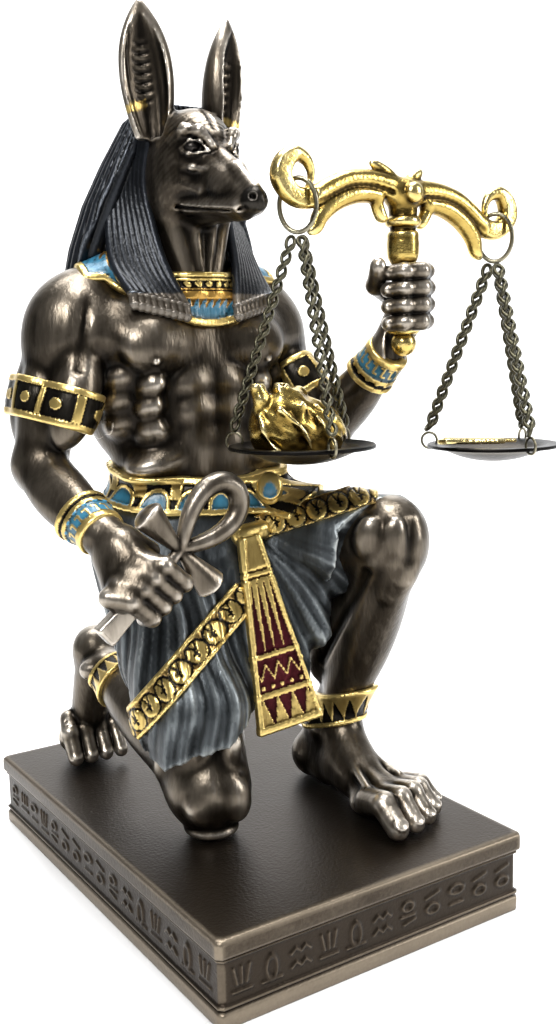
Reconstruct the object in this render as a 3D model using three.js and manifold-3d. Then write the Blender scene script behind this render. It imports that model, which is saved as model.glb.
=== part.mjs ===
// A kneeling jackal headed figure on a plinth. It holds a looped cross in its right hand and
// a balance in its left, with a heart in one pan and a feather in the other. Millimetres, +Z up,
// the figure faces -Y, its right side is -X, and the plinth's underside is at z = 0.
import * as THREE from "three";
import { mergeVertices } from "three/addons/utils/BufferGeometryUtils.js";
import Module from "manifold-3d";

const wasm = await Module();
wasm.setup();

// Plinth
const PLINTH_WIDTH = 104;
const PLINTH_DEPTH = 152;
const PLINTH_HEIGHT = 24;
const PLINTH_TOP_SLAB = 5;
const PLINTH_FOOT_SLAB = 5.5;
const PLINTH_BAND_INSET = 1.2;
const GAP = 0.3;
const GROUND = PLINTH_HEIGHT + GAP;

// Skeleton of the figure: R is its right side, L its left
const PELVIS = [-3, 13, 106];
const SKULL = [-6, 7, 221];
const ELBOW_R = [-54, 19, 133];
const WRIST_R = [-49, -12, 116];
const ELBOW_L = [42, 6, 137];
const WRIST_L = [45, -22, 163];
const HIP_R = [-15, 15, 102];
const KNEE_R = [-22, -20, 38];
const ANKLE_R = [-28, 35, 62];
const BALL_R = [-27, 58, 31];
const HIP_L = [11, 15, 104];
const KNEE_L = [32, -38, 110];
const ANKLE_L = [30, -14, 45];
const HEEL_L = [28, -4, 31];

// Ears: foot, tip, the way the hollow faces, half width and half depth
const EAR_R = [[-18, 8, 231.5], [-20, 9.5, 269.8], [-0.3, -1, 0.1], 8.3, 4.6];
const EAR_L = [[5.6, 8, 230], [9.4, 9, 266.6], [0.5, -1, 0.1], 7.8, 6.6];

// Balance: "right" and "left" are the figure's
const COLUMN_X = 45.5;
const BEAM_Y = -30;
const BEAM_Z = 211.5;
const BEAM_TILT = -0.083;
const EYE_REACH = 38.1;
const COLUMN_RADIUS = 4.9;
const GRIP_RADIUS = 3.4;
const SCROLL_HALF_THICK = 2.1;
const RING_ACROSS = [0.64, -0.768, 0];
const RING_HALF_WIDTH = 5.4;
const RING_HALF_HEIGHT = 7.4;
const RING_WIRE = 0.7;
const RING_TOP = -1.8;
const RING_ROOM = 1.35;
const PAN_RADIUS = 21.5;
const PAN_THICK = 1;
const PAN_DEPTH = 4.6;
const PAN_R = [7.3, -30, 137.5];
const PAN_L = [83.6, -30, 132.8];
const PAN_RING_TURNS = [-102, 18, 125];
const CHAIN_TWIST = 6.6;
const CHAIN_WIDE = 1.5;
const CHAIN_THIN = 1.2;

// The plinth's outline from the ground up: height, inset
const PLINTH_CHAMFER = 0.9;
const PLINTH_LEVELS = [
  [0, 0.8],
  [PLINTH_FOOT_SLAB - 1.6, 0.6],
  [PLINTH_FOOT_SLAB - 1.2, 1.6],
  [PLINTH_FOOT_SLAB - 0.6, 1.6],
  [PLINTH_FOOT_SLAB, 0.5],
  [PLINTH_FOOT_SLAB + 0.6, PLINTH_BAND_INSET],
  [PLINTH_HEIGHT - PLINTH_TOP_SLAB - 1.2, PLINTH_BAND_INSET],
  [PLINTH_HEIGHT - PLINTH_TOP_SLAB - 0.9, 0.7],
  [PLINTH_HEIGHT - PLINTH_TOP_SLAB - 0.3, PLINTH_BAND_INSET],
  [PLINTH_HEIGHT - PLINTH_TOP_SLAB, 0],
  [PLINTH_HEIGHT - 0.8, 0],
  [PLINTH_HEIGHT, 0.8],
];

// How fine the sculpting grids are, and how many faces each carved piece keeps
const BODY_STEP = 1.5;
const BODY_FACES = 5100;
const BEAM_STEP = 0.75;
const BEAM_FACES = 950;
const SMALL_STEP = 0.7;
const HEART_FACES = 320;
const FEATHER_FACES = 120;
const FAR = 9;

// Vectors
const add = (a, b) => [a[0] + b[0], a[1] + b[1], a[2] + b[2]];
const sub = (a, b) => [a[0] - b[0], a[1] - b[1], a[2] - b[2]];
const scale = (a, s) => [a[0] * s, a[1] * s, a[2] * s];
const dot = (a, b) => a[0] * b[0] + a[1] * b[1] + a[2] * b[2];
const cross = (a, b) => [a[1] * b[2] - a[2] * b[1], a[2] * b[0] - a[0] * b[2], a[0] * b[1] - a[1] * b[0]];
const unit = (a) => scale(a, 1 / Math.sqrt(dot(a, a)));
const mix = (a, b, t) => [a[0] + (b[0] - a[0]) * t, a[1] + (b[1] - a[1]) * t, a[2] + (b[2] - a[2]) * t];
const clamp = (x, a, b) => (x < a ? a : x > b ? b : x);

// Right-handed axes with the first along "along" and the second near "side"
function axes(along, side) {
  const w = unit(along);
  const u = unit(sub(side, scale(w, dot(side, w))));
  return [w, u, cross(w, u)];
}

// Signed distances, negative inside, each with the box that holds the shape

function limb(a, ra, b, rb) {
  const d = sub(b, a);
  const l2 = dot(d, d);
  const r = Math.max(ra, rb);
  return {
    lo: [0, 1, 2].map((i) => Math.min(a[i], b[i]) - r),
    hi: [0, 1, 2].map((i) => Math.max(a[i], b[i]) + r),
    at(x, y, z) {
      const px = x - a[0];
      const py = y - a[1];
      const pz = z - a[2];
      const t = clamp((px * d[0] + py * d[1] + pz * d[2]) / l2, 0, 1);
      const qx = px - d[0] * t;
      const qy = py - d[1] * t;
      const qz = pz - d[2] * t;
      return Math.sqrt(qx * qx + qy * qy + qz * qz) - ra - (rb - ra) * t;
    },
  };
}

// An oval with half sizes r = [along, side, third]
function oval(c, r, along = [0, 0, 1], side = [1, 0, 0]) {
  const [w, u, v] = axes(along, side);
  const reach = [0, 1, 2].map((i) => Math.hypot(w[i] * r[0], u[i] * r[1], v[i] * r[2]));
  return {
    lo: sub(c, reach),
    hi: add(c, reach),
    at(x, y, z) {
      const px = x - c[0];
      const py = y - c[1];
      const pz = z - c[2];
      const a = (px * w[0] + py * w[1] + pz * w[2]) / r[0];
      const b = (px * u[0] + py * u[1] + pz * u[2]) / r[1];
      const e = (px * v[0] + py * v[1] + pz * v[2]) / r[2];
      const k0 = Math.sqrt(a * a + b * b + e * e);
      const k1 = Math.sqrt((a / r[0]) ** 2 + (b / r[1]) ** 2 + (e / r[2]) ** 2);
      return k1 > 0 ? (k0 * (k0 - 1)) / k1 : -Math.min(r[0], r[1], r[2]);
    },
  };
}

// A muscle from a to b, as an oval that reaches a little past both
function muscle(a, b, wide, thick, side = [1, 0, 0]) {
  const d = sub(b, a);
  return oval(mix(a, b, 0.5), [Math.sqrt(dot(d, d)) / 2, wide, thick], d, side);
}

function ring(c, axis, R, r, squash = 1) {
  const w = unit(axis);
  const reach = [0, 1, 2].map((i) => R * Math.sqrt(1 - w[i] * w[i]) + r * Math.max(1, squash));
  return {
    lo: sub(c, reach),
    hi: add(c, reach),
    at(x, y, z) {
      const p = [x - c[0], y - c[1], z - c[2]];
      const h = dot(p, w);
      const q = Math.sqrt(Math.max(0, dot(p, p) - h * h)) - R;
      return Math.sqrt(q * q + (h * h) / (squash * squash)) - r;
    },
  };
}

// A field of signed distance on a grid, which shapes are joined to and carved from
class Clay {
  constructor(lo, hi, step) {
    this.lo = lo;
    this.step = step;
    this.n = [0, 1, 2].map((i) => Math.ceil((hi[i] - lo[i]) / step) + 1);
    this.v = new Float32Array(this.n[0] * this.n[1] * this.n[2]).fill(FAR);
  }

  // Calls change(old, x, y, z) for the grid points in a box
  within(lo, hi, pad, change) {
    const { n, step, v } = this;
    const a = [0, 1, 2].map((i) => clamp(Math.floor((lo[i] - pad - this.lo[i]) / step), 0, n[i] - 1));
    const b = [0, 1, 2].map((i) => clamp(Math.ceil((hi[i] + pad - this.lo[i]) / step), 0, n[i] - 1));
    for (let k = a[2]; k <= b[2]; k++) {
      for (let j = a[1]; j <= b[1]; j++) {
        let at = (k * n[1] + j) * n[0] + a[0];
        for (let i = a[0]; i <= b[0]; i++, at++) {
          const x = this.lo[0] + i * step;
          const y = this.lo[1] + j * step;
          const z = this.lo[2] + k * step;
          v[at] = change(v[at], x, y, z);
        }
      }
    }
  }

  // Smooth union: k is the width of the blend
  join(shape, k = 0) {
    this.within(shape.lo, shape.hi, Math.max(k, 2) + 2 * this.step, (old, x, y, z) => {
      const d = shape.at(x, y, z);
      const h = k > 0 ? Math.max(k - Math.abs(old - d), 0) / k : 0;
      return Math.min(old, d) - (h * h * k) / 4;
    });
    return this;
  }

  // Smooth cut
  carve(shape, k = 0) {
    this.within(shape.lo, shape.hi, k + this.step, (old, x, y, z) => {
      const d = -shape.at(x, y, z);
      const h = k > 0 ? Math.max(k - Math.abs(old - d), 0) / k : 0;
      return Math.max(old, d) + (h * h * k) / 4;
    });
    return this;
  }

  // A raised band that follows what is there: out mm thick, within half mm of the plane
  // through c across the axis, and within reach of c
  band(c, axis, half, reach, out) {
    const w = unit(axis);
    const r = [reach, reach, reach];
    this.within(sub(c, r), add(c, r), 0, (old, x, y, z) => {
      const p = [x - c[0], y - c[1], z - c[2]];
      const h = Math.abs(dot(p, w)) - half;
      const far = Math.sqrt(dot(p, p)) - reach;
      return Math.min(old, Math.max(old - out, h, far));
    });
    return this;
  }

  // Takes in another clay on the same grid
  merge(other) {
    for (let i = 0; i < this.v.length; i++) this.v[i] = Math.min(this.v[i], other.v[i]);
    return this;
  }

  // Everything below height z goes
  flatten(z) {
    this.within([-500, -500, -500], [500, 500, 500], 0, (old, x, y, zz) => Math.max(old, z - zz));
    return this;
  }

  // The surface as triangles, from each grid cube cut into six tetrahedra round its diagonal
  surface() {
    const { n, step, v } = this;
    const [nx, ny, nz] = n;
    const offset = (c) => (c & 1) + ((c >> 1) & 1) * nx + ((c >> 2) & 1) * nx * ny;
    const tets = [[0, 1, 3, 7], [0, 3, 2, 7], [0, 2, 6, 7], [0, 6, 4, 7], [0, 4, 5, 7], [0, 5, 1, 7]];
    const points = [];
    const faces = [];
    const known = new Map();
    const total = nx * ny * nz;
    const strides = [1, nx, nx + 1, nx * ny, nx * ny + 1, nx * ny + nx, nx * ny + nx + 1];
    const cutAt = (p, q) => {
      const a = Math.min(p, q);
      const b = Math.max(p, q);
      const key = a * 8 + strides.indexOf(b - a);
      if (known.has(key)) return known.get(key);
      const t = clamp(v[a] / (v[a] - v[b]), 0.04, 0.96);
      const where = [a, b].map((s) => [s % nx, Math.floor(s / nx) % ny, Math.floor(s / (nx * ny))]);
      const id = points.length / 3;
      for (let i = 0; i < 3; i++) {
        points.push(this.lo[i] + step * (where[0][i] + t * (where[1][i] - where[0][i])));
      }
      known.set(key, id);
      return id;
    };
    const far = nx * ny + nx + 1;
    for (let s = 0; s + far < total; s++) {
      if (s % nx === nx - 1 || Math.floor(s / nx) % ny === ny - 1) continue;
      let inside = 0;
      for (let c = 0; c < 8; c++) inside += v[s + offset(c)] < 0 ? 1 : 0;
      if (inside === 0 || inside === 8) continue;
      for (const tet of tets) {
        const g = tet.map((c) => s + offset(c));
        const ins = g.filter((q) => v[q] < 0);
        const outs = g.filter((q) => v[q] >= 0);
        if (!ins.length || !outs.length) continue;
        const even = (order) => {
          let swaps = 0;
          const idx = order.map((q) => g.indexOf(q));
          for (let i = 0; i < 4; i++) for (let j = i + 1; j < 4; j++) swaps += idx[i] > idx[j] ? 1 : 0;
          return swaps % 2 === 0;
        };
        if (ins.length === 1) {
          const f = outs.map((q) => cutAt(ins[0], q));
          faces.push(...(even([ins[0], ...outs]) ? f : [f[0], f[2], f[1]]));
        } else if (outs.length === 1) {
          const f = ins.map((q) => cutAt(outs[0], q));
          faces.push(...(even([outs[0], ...ins]) ? [f[0], f[2], f[1]] : f));
        } else {
          const f = [[0, 0], [0, 1], [1, 1], [1, 0]].map(([i, o]) => cutAt(ins[i], outs[o]));
          const turn = even([ins[0], ins[1], outs[0], outs[1]]);
          faces.push(...(turn ? [f[0], f[1], f[2], f[0], f[2], f[3]] : [f[0], f[2], f[1], f[0], f[3], f[2]]));
        }
      }
    }
    return largest({ points, faces });
  }
}

// Keeps the largest connected part of a mesh, which drops crumbs and closed hollows
function largest({ points, faces }) {
  const root = Int32Array.from({ length: points.length / 3 }, (_, i) => i);
  const find = (i) => {
    while (root[i] !== i) {
      root[i] = root[root[i]];
      i = root[i];
    }
    return i;
  };
  for (let i = 0; i < faces.length; i += 3) {
    root[find(faces[i])] = find(faces[i + 1]);
    root[find(faces[i + 1])] = find(faces[i + 2]);
  }
  const size = new Map();
  for (let i = 0; i < faces.length; i += 3) size.set(find(faces[i]), (size.get(find(faces[i])) || 0) + 1);
  const best = [...size].sort((p, q) => q[1] - p[1])[0][0];
  return { points, faces: faces.filter((_, i) => find(faces[i - (i % 3)]) === best) };
}

// Thins a closed mesh to a number of faces by folding up the edges that matter least
function thin({ points, faces }, wanted) {
  const p = Float64Array.from(points);
  const f = Int32Array.from(faces);
  const nv = p.length / 3;
  const nf = f.length / 3;
  const q = new Float64Array(nv * 10);
  const around = Array.from({ length: nv }, () => []);
  const alive = new Uint8Array(nf).fill(1);
  const stamp = new Int32Array(nv);
  const normal = (a, b, c) => {
    const ux = p[3 * b] - p[3 * a];
    const uy = p[3 * b + 1] - p[3 * a + 1];
    const uz = p[3 * b + 2] - p[3 * a + 2];
    const vx = p[3 * c] - p[3 * a];
    const vy = p[3 * c + 1] - p[3 * a + 1];
    const vz = p[3 * c + 2] - p[3 * a + 2];
    return [uy * vz - uz * vy, uz * vx - ux * vz, ux * vy - uy * vx];
  };
  for (let i = 0; i < nf; i++) {
    const [a, b, c] = [f[3 * i], f[3 * i + 1], f[3 * i + 2]];
    around[a].push(i);
    around[b].push(i);
    around[c].push(i);
    const m = normal(a, b, c);
    const len = Math.hypot(...m);
    if (len < 1e-9) continue;
    const [x, y, z] = [m[0] / len, m[1] / len, m[2] / len];
    const w = -(x * p[3 * a] + y * p[3 * a + 1] + z * p[3 * a + 2]);
    const k = [x * x, x * y, x * z, x * w, y * y, y * z, y * w, z * z, z * w, w * w];
    for (const s of [a, b, c]) for (let j = 0; j < 10; j++) q[10 * s + j] += k[j] * len;
  }
  const m = new Float64Array(10);
  const spot = [0, 0, 0];
  const errorAt = (x, y, z) =>
    m[0] * x * x + 2 * m[1] * x * y + 2 * m[2] * x * z + 2 * m[3] * x + m[4] * y * y +
    2 * m[5] * y * z + 2 * m[6] * y + m[7] * z * z + 2 * m[8] * z + m[9];
  const cost = (a, b) => {
    for (let j = 0; j < 10; j++) m[j] = q[10 * a + j] + q[10 * b + j];
    const mid = [0, 1, 2].map((i) => (p[3 * a + i] + p[3 * b + i]) / 2);
    const soft = 1e-3 * (m[0] + m[4] + m[7]) + 1e-9;
    const [A, B, C, D, E, F] = [m[0] + soft, m[1], m[2], m[4] + soft, m[5], m[7] + soft];
    const r = [-m[3] + soft * mid[0], -m[6] + soft * mid[1], -m[8] + soft * mid[2]];
    const det = A * (D * F - E * E) - B * (B * F - E * C) + C * (B * E - D * C);
    if (Math.abs(det) > 1e-12) {
      spot[0] = (r[0] * (D * F - E * E) - B * (r[1] * F - E * r[2]) + C * (r[1] * E - D * r[2])) / det;
      spot[1] = (A * (r[1] * F - E * r[2]) - r[0] * (B * F - E * C) + C * (B * r[2] - r[1] * C)) / det;
      spot[2] = (A * (D * r[2] - r[1] * E) - B * (B * r[2] - r[1] * C) + r[0] * (B * E - D * C)) / det;
    } else {
      [spot[0], spot[1], spot[2]] = mid;
    }
    const long = Math.hypot(p[3 * a] - p[3 * b], p[3 * a + 1] - p[3 * b + 1], p[3 * a + 2] - p[3 * b + 2]);
    return Math.max(errorAt(spot[0], spot[1], spot[2]), 0) + 1e-5 * long * long;
  };
  // A heap of candidate edges: cost, ends and the stamps that they had
  const heap = [];
  const push = (e) => {
    let i = heap.length;
    heap.push(e);
    while (i > 0) {
      const up = (i - 1) >> 1;
      if (heap[up][0] <= e[0]) break;
      heap[i] = heap[up];
      i = up;
    }
    heap[i] = e;
  };
  const pop = () => {
    const top = heap[0];
    const e = heap.pop();
    if (!heap.length) return top;
    let i = 0;
    for (;;) {
      let c = 2 * i + 1;
      if (c >= heap.length) break;
      if (c + 1 < heap.length && heap[c + 1][0] < heap[c][0]) c++;
      if (heap[c][0] >= e[0]) break;
      heap[i] = heap[c];
      i = c;
    }
    heap[i] = e;
    return top;
  };
  const offer = (a, b) => push([cost(a, b), a, b, stamp[a] + stamp[b]]);
  for (let i = 0; i < nf; i++) {
    for (let j = 0; j < 3; j++) {
      const a = f[3 * i + j];
      const b = f[3 * i + ((j + 1) % 3)];
      if (a < b) offer(a, b);
    }
  }
  const neighbours = (a) => {
    const s = new Set();
    for (const i of around[a]) for (let j = 0; j < 3; j++) s.add(f[3 * i + j]);
    s.delete(a);
    return s;
  };
  const turnsOver = (a, b) => {
    for (const i of around[a]) {
      const t = [f[3 * i], f[3 * i + 1], f[3 * i + 2]];
      if (t.includes(b)) continue;
      const before = normal(...t);
      const keep = [p[3 * a], p[3 * a + 1], p[3 * a + 2]];
      p.set(spot, 3 * a);
      const after = normal(...t);
      p.set(keep, 3 * a);
      const both = Math.hypot(...before) * Math.hypot(...after);
      if (dot(before, after) <= 0.15 * both || Math.hypot(...after) < 1e-4) return true;
    }
    return false;
  };
  let count = nf;
  while (count > wanted && heap.length) {
    const [, a, b, when] = pop();
    if (stamp[a] < 0 || stamp[b] < 0 || stamp[a] + stamp[b] !== when) continue;
    const na = neighbours(a);
    const nb = neighbours(b);
    if (!na.has(b)) continue;
    let shared = 0;
    for (const s of na) shared += nb.has(s) ? 1 : 0;
    if (shared !== 2) continue;
    cost(a, b);
    if (turnsOver(a, b) || turnsOver(b, a)) continue;
    p.set(spot, 3 * a);
    for (let j = 0; j < 10; j++) q[10 * a + j] += q[10 * b + j];
    for (const i of around[b]) {
      const t = [f[3 * i], f[3 * i + 1], f[3 * i + 2]];
      if (t.includes(a)) {
        alive[i] = 0;
        count--;
        for (const s of t) if (s !== b) around[s] = around[s].filter((o) => o !== i);
      } else {
        for (let j = 0; j < 3; j++) if (f[3 * i + j] === b) f[3 * i + j] = a;
        around[a].push(i);
      }
    }
    around[b] = [];
    stamp[b] = -1e9;
    stamp[a] += 1;
    for (const s of neighbours(a)) offer(Math.min(s, a), Math.max(s, a));
  }
  const used = new Map();
  const outP = [];
  const outF = [];
  for (let i = 0; i < nf; i++) {
    if (!alive[i]) continue;
    for (let j = 0; j < 3; j++) {
      const s = f[3 * i + j];
      if (!used.has(s)) {
        used.set(s, outP.length / 3);
        outP.push(p[3 * s], p[3 * s + 1], p[3 * s + 2]);
      }
      outF.push(used.get(s));
    }
  }
  return { points: outP, faces: outF };
}

// The unclothed figure

// Mirrors a point of the trunk or head about the figure's middle plane
const MIDDLE = -5;
const at = (side, x, y, z) => [MIDDLE + side * x, y, z];
const RIGHT = -1;
const LEFT = 1;

// Middles, heights and sizes of the muscles over the ribs and down the belly
const RIBS = [
  [19.6, 1.6, 155.6, 3.1],
  [20.4, 2.4, 149.2, 3.2],
  [19.6, 2.8, 142, 3.8],
  [27.2, 7.6, 157, 3],
  [27.4, 8.6, 150.4, 3],
  [26.4, 9.4, 143.6, 3],
];
const BELLY = [
  [6, 0.2, 156, 4.3],
  [5.6, -0.3, 147.6, 4.5],
  [5.4, -0.6, 136.4, 7.6],
];

function trunk(c) {
  c.join(oval([MIDDLE, 16, 160], [26, 29, 17.5]));
  c.join(oval([-4, 14, 135], [26, 27.2, 17]), 8);
  c.join(oval([-3, 13, 113], [18, 30.5, 19.5]), 8);
  c.join(limb([-35, 22, 175], 10.5, [24, 22, 174], 10.5), 8);
  for (const s of [RIGHT, LEFT]) {
    c.join(limb(at(s, 5, 18, 195), 7, at(s, 30, 22, 184), 6.5), 6);
    c.join(oval(at(s, 23.5, 20, 154.5), [20, 8.5, 13]), 5);
    c.join(oval(at(s, 12, 11, 178), [6, 14, 9]), 5);
    // chest muscle
    c.join(limb(at(s, 17, 6.5, 168.5), 8.4, at(s, 32, 15, 171), 8.6), 5);
    c.join(oval(at(s, 14, 4.4, 167.6), [9.6, 14, 7.2], [0.1 * s, 0.15, 1], [1, -0.1 * s, 0]), 2.2);
    // ribs, belly and flank
    for (const [x, y, z, tall] of RIBS) {
      c.join(oval(at(s, x, y, z), [tall, 4.9, 2.9], [0.35 * s, 0, 1], [1, 0.8 * s, 0]), 3);
    }
    for (const [x, y, z, tall] of BELLY) {
      c.join(oval(at(s, x, y, z), [tall, 5, 2.7], [0.08 * s, 0, 1]), 3);
    }
    c.join(oval(at(s, 17.5, 4.6, 132.4), [4.6, 9.6, 7.4], [0.25 * s, 0, 1]), 4);
    // shoulder blade, and the long muscle beside the spine
    c.join(oval(at(s, 15, 33, 166), [10, 8, 3.5], [0.3 * s, 0, 1]), 5);
    c.join(limb(at(s, 4.5, 34, 158), 4, at(s, 4.5, 34, 128), 4), 4);
  }
  c.carve(limb([MIDDLE - 0.6, -6, 158], 1.2, [-4.4, -6.6, 128], 1.1), 1.6);
  c.carve(limb([MIDDLE, -6.5, 176], 1.6, [MIDDLE, -6.5, 160], 2), 2.5);
  c.carve(limb([MIDDLE, 42, 172], 1.6, [-4, 41, 122], 1.8), 3);
}

function neck(c) {
  c.join(limb([MIDDLE, 16, 183], 13, [-6, 13, 205], 11.5), 6);
  for (const s of [RIGHT, LEFT]) {
    c.join(limb(at(s, 3.4, 3.6, 184), 2, at(s, 8.4, 5.6, 204), 2.6), 3);
  }
}

function head(c) {
  const face = (s, x, y, z) => [SKULL[0] + s * x, y, z];
  c.join(oval(SKULL, [15, 13, 15.2]), 4);
  // forehead, muzzle, nose and lower jaw
  c.join(limb([-6, 2, 226.5], 8.2, [-6, -2.5, 222.6], 7.8), 4);
  c.join(limb([-6, -5, 217], 7.6, [-6, -16.5, 211.4], 5.4), 3);
  c.join(limb([-6, -16.5, 211.4], 5.4, [-6, -26, 206.8], 4), 3);
  c.join(limb([-6, -9, 222.2], 1.8, [-6, -20, 215.8], 1.8), 2);
  c.join(limb([-6, -20, 215.8], 1.8, [-6, -28.6, 209.6], 1.6), 2);
  c.join(limb([-6, -21, 206.4], 4.2, [-6, -27.6, 205.8], 3.2), 1.5);
  c.join(oval([-6, -29.3, 206.2], [3.5, 3.5, 2.7], [0, 0.12, 1]), 0.9);
  c.join(limb([-6, 8, 211], 9, [-6, -23, 204], 2.4), 2.5);
  for (const s of [RIGHT, LEFT]) {
    // cheek, jowl, brow, eye and mouth
    c.join(oval(face(s, 7.6, 7, 213.5), [9, 5.6, 11], [0, 0.3, 1]), 4);
    c.join(limb(face(s, 6.2, -3, 207.6), 2.6, face(s, 3.4, -25, 205), 1.9), 2);
    c.join(limb(face(s, 9.4, 3, 215), 1.6, face(s, 6.2, -10, 211), 1), 3);
    c.join(limb(face(s, 9.4, -0.5, 225.6), 1, face(s, 8.4, -5, 228.4), 1.3), 2);
    c.join(limb(face(s, 8.4, -5, 228.4), 1.4, face(s, 3, -11.4, 223.4), 1), 2);
    c.carve(oval(face(s, 7.6, -8.4, 223), [1.7, 3.3, 1.9], [0, 0.2, 1], [1, 0.9 * s, 0]), 1.2);
    c.join(oval(face(s, 6.3, -6.4, 223.1), [1.7, 2.5, 2]), 0.2);
    c.carve(limb(face(s, 3.2, -28.6, 203.9), 0.4, face(s, 6.4, -14, 204.7), 0.5), 0.6);
    c.carve(limb(face(s, 6.4, -14, 204.7), 0.5, face(s, 8.8, 1, 207.4), 0.5), 0.6);
  }
}

// An ear: a pointed leaf, hollow on the side that it faces
function ear(c, foot, tip, facing, wide, deep) {
  const long = sub(tip, foot);
  const length = Math.sqrt(dot(long, long));
  const [w, v, u] = axes(long, facing);
  const leaf = (grow, shift) => ({
    lo: sub([0, 1, 2].map((i) => Math.min(foot[i], tip[i])), [14, 14, 8]),
    hi: add([0, 1, 2].map((i) => Math.max(foot[i], tip[i])), [14, 14, 8]),
    at(x, y, z) {
      const p = [x - foot[0], y - foot[1], z - foot[2]];
      const t = Math.min(dot(p, w) / length, 1.1);
      const full = 0.75 + 1.05 * t - 1.2 * t * t;
      const shape = full * Math.pow(Math.max(1 - Math.pow(Math.max(t, 0), 5), 0.0004), 0.8);
      const a = wide * shape + grow;
      const b = deep * shape * (1.1 - 0.45 * t) + grow;
      if (a < 0.15 || b < 0.15) return 3;
      const qa = dot(p, u) / a;
      const qb = (dot(p, v) - shift) / b;
      const end = (-0.12 - t) * length;
      return Math.max((Math.hypot(qa, qb) - 1) * Math.min(a, b), end);
    },
  });
  c.join(leaf(0, 0), 2);
  c.carve(leaf(-1.2, 0.52 * deep), 0.6);
}

function rightArm(c) {
  c.join(oval([-41.5, 22, 172], [17, 13.5, 14], [0.25, 0, 1]), 6);
  c.join(limb([-43, 22, 165], 10.5, ELBOW_R, 7.6), 5);
  c.join(muscle([-40, 12, 168], [-51, 8, 138], 7.4, 7, [1, -1, 0]), 3);
  c.join(muscle([-46, 30, 168], [-55, 26, 137], 7.6, 7.2, [1, 1, 0]), 3);
  c.join(muscle([-53, 20, 162], [-54, 16, 132], 6, 6.5), 3);
  // forearm
  c.join(limb(ELBOW_R, 7, WRIST_R, 5.6), 4);
  c.join(muscle([-52.8, 18, 134.8], [-49, -9, 116.5], 5.8, 5.8, [0, 1, 1]), 3);
  c.join(muscle([-57.5, 19, 131], [-52, -6, 116], 5.5, 5.8, [0, 1, 1]), 3);
  c.join(oval([-55, 23.5, 129], [4.5, 4.2, 4.2]), 3);
  // lines between the three parts of the shoulder muscle
  c.carve(limb([-48.5, 9.4, 183], 0.7, [-53, 7.6, 161], 0.7), 2.6);
  c.carve(limb([-40, 8.4, 184], 0.7, [-46, 5, 161], 0.7), 2.6);
  c.carve(limb([-55.5, 16.8, 177], 0.7, [-57.5, 14.8, 160], 0.7), 2.6);
}

function leftArm(c) {
  c.join(oval([29.5, 23, 171], [16.5, 12.5, 13.5], [-0.25, 0, 1]), 6);
  c.join(limb([31, 22, 164], 10, ELBOW_L, 7), 5);
  c.join(muscle([28, 14, 166], [40, 2, 141], 7, 7, [1, 1, 0]), 3);
  c.join(muscle([33, 29, 164], [44, 13, 138], 7.5, 7), 3);
  c.join(limb(ELBOW_L, 7.2, WRIST_L, 5.4), 4);
  c.join(muscle([42, 10, 136], [46, -17, 157], 7, 7, [1, 0, 0]), 3);
  c.join(muscle([40, 0, 143], [43, -16, 159], 6, 5.5, [1, 0, 0]), 3);
  c.join(oval([42, 10.5, 133.5], [4.5, 4.5, 4.5]), 3);
}

// The fist that holds the balance: a palm behind the grip and four fingers round it
function leftHand(c) {
  const grip = [COLUMN_X, BEAM_Y, 0];
  c.join(limb(WRIST_L, 5.4, [49, -25, 173], 6), 4);
  c.join(oval([51, -27, 180], [9, 4.6, 7]), 3);
  for (let i = 0; i < 4; i++) {
    const z = 188.2 - i * 4.95;
    const reach = 7.2 - Math.abs(i - 1.3) * 0.3;
    const round = [-25, 25, 75, 125, 170].map((deg, j) => {
      const a = (deg * Math.PI) / 180;
      return [grip[0] + Math.cos(a) * reach, grip[1] - Math.sin(a) * (reach - 0.2), z - j * 0.25];
    });
    for (let j = 0; j < 4; j++) c.join(limb(round[j], 2.75, round[j + 1], 2.5 - (j === 3 ? 0.3 : 0)), 0.4);
  }
  c.join(limb([46, -22, 182], 3.4, [38.6, -25.5, 184], 3), 2);
  c.join(limb([38.6, -25.5, 184], 3, [35.6, -30, 187.6], 2.5), 1);
  c.join(oval([35.2, -30.8, 189], [2.9, 2.4, 2.6]), 0.5);
}

// Towards the viewer of the photograph
const VIEW_BACK = [-0.543, -0.826, 0.152];

// The looped cross lies in one plane. u runs up its shaft and v along its arms
const ANKH_MIDDLE = [-31.8, -26, 111];
const ANKH_UP = unit([0.755, 0, 0.656]);
const ANKH_SIDE = [0.656, 0, -0.755];
const ANKH_FACE = [0, -1, 0];
const ankhPoint = (u, v, out = 0) =>
  add(ANKH_MIDDLE, add(add(scale(ANKH_UP, u), scale(ANKH_SIDE, v)), scale(ANKH_FACE, out)));

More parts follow.
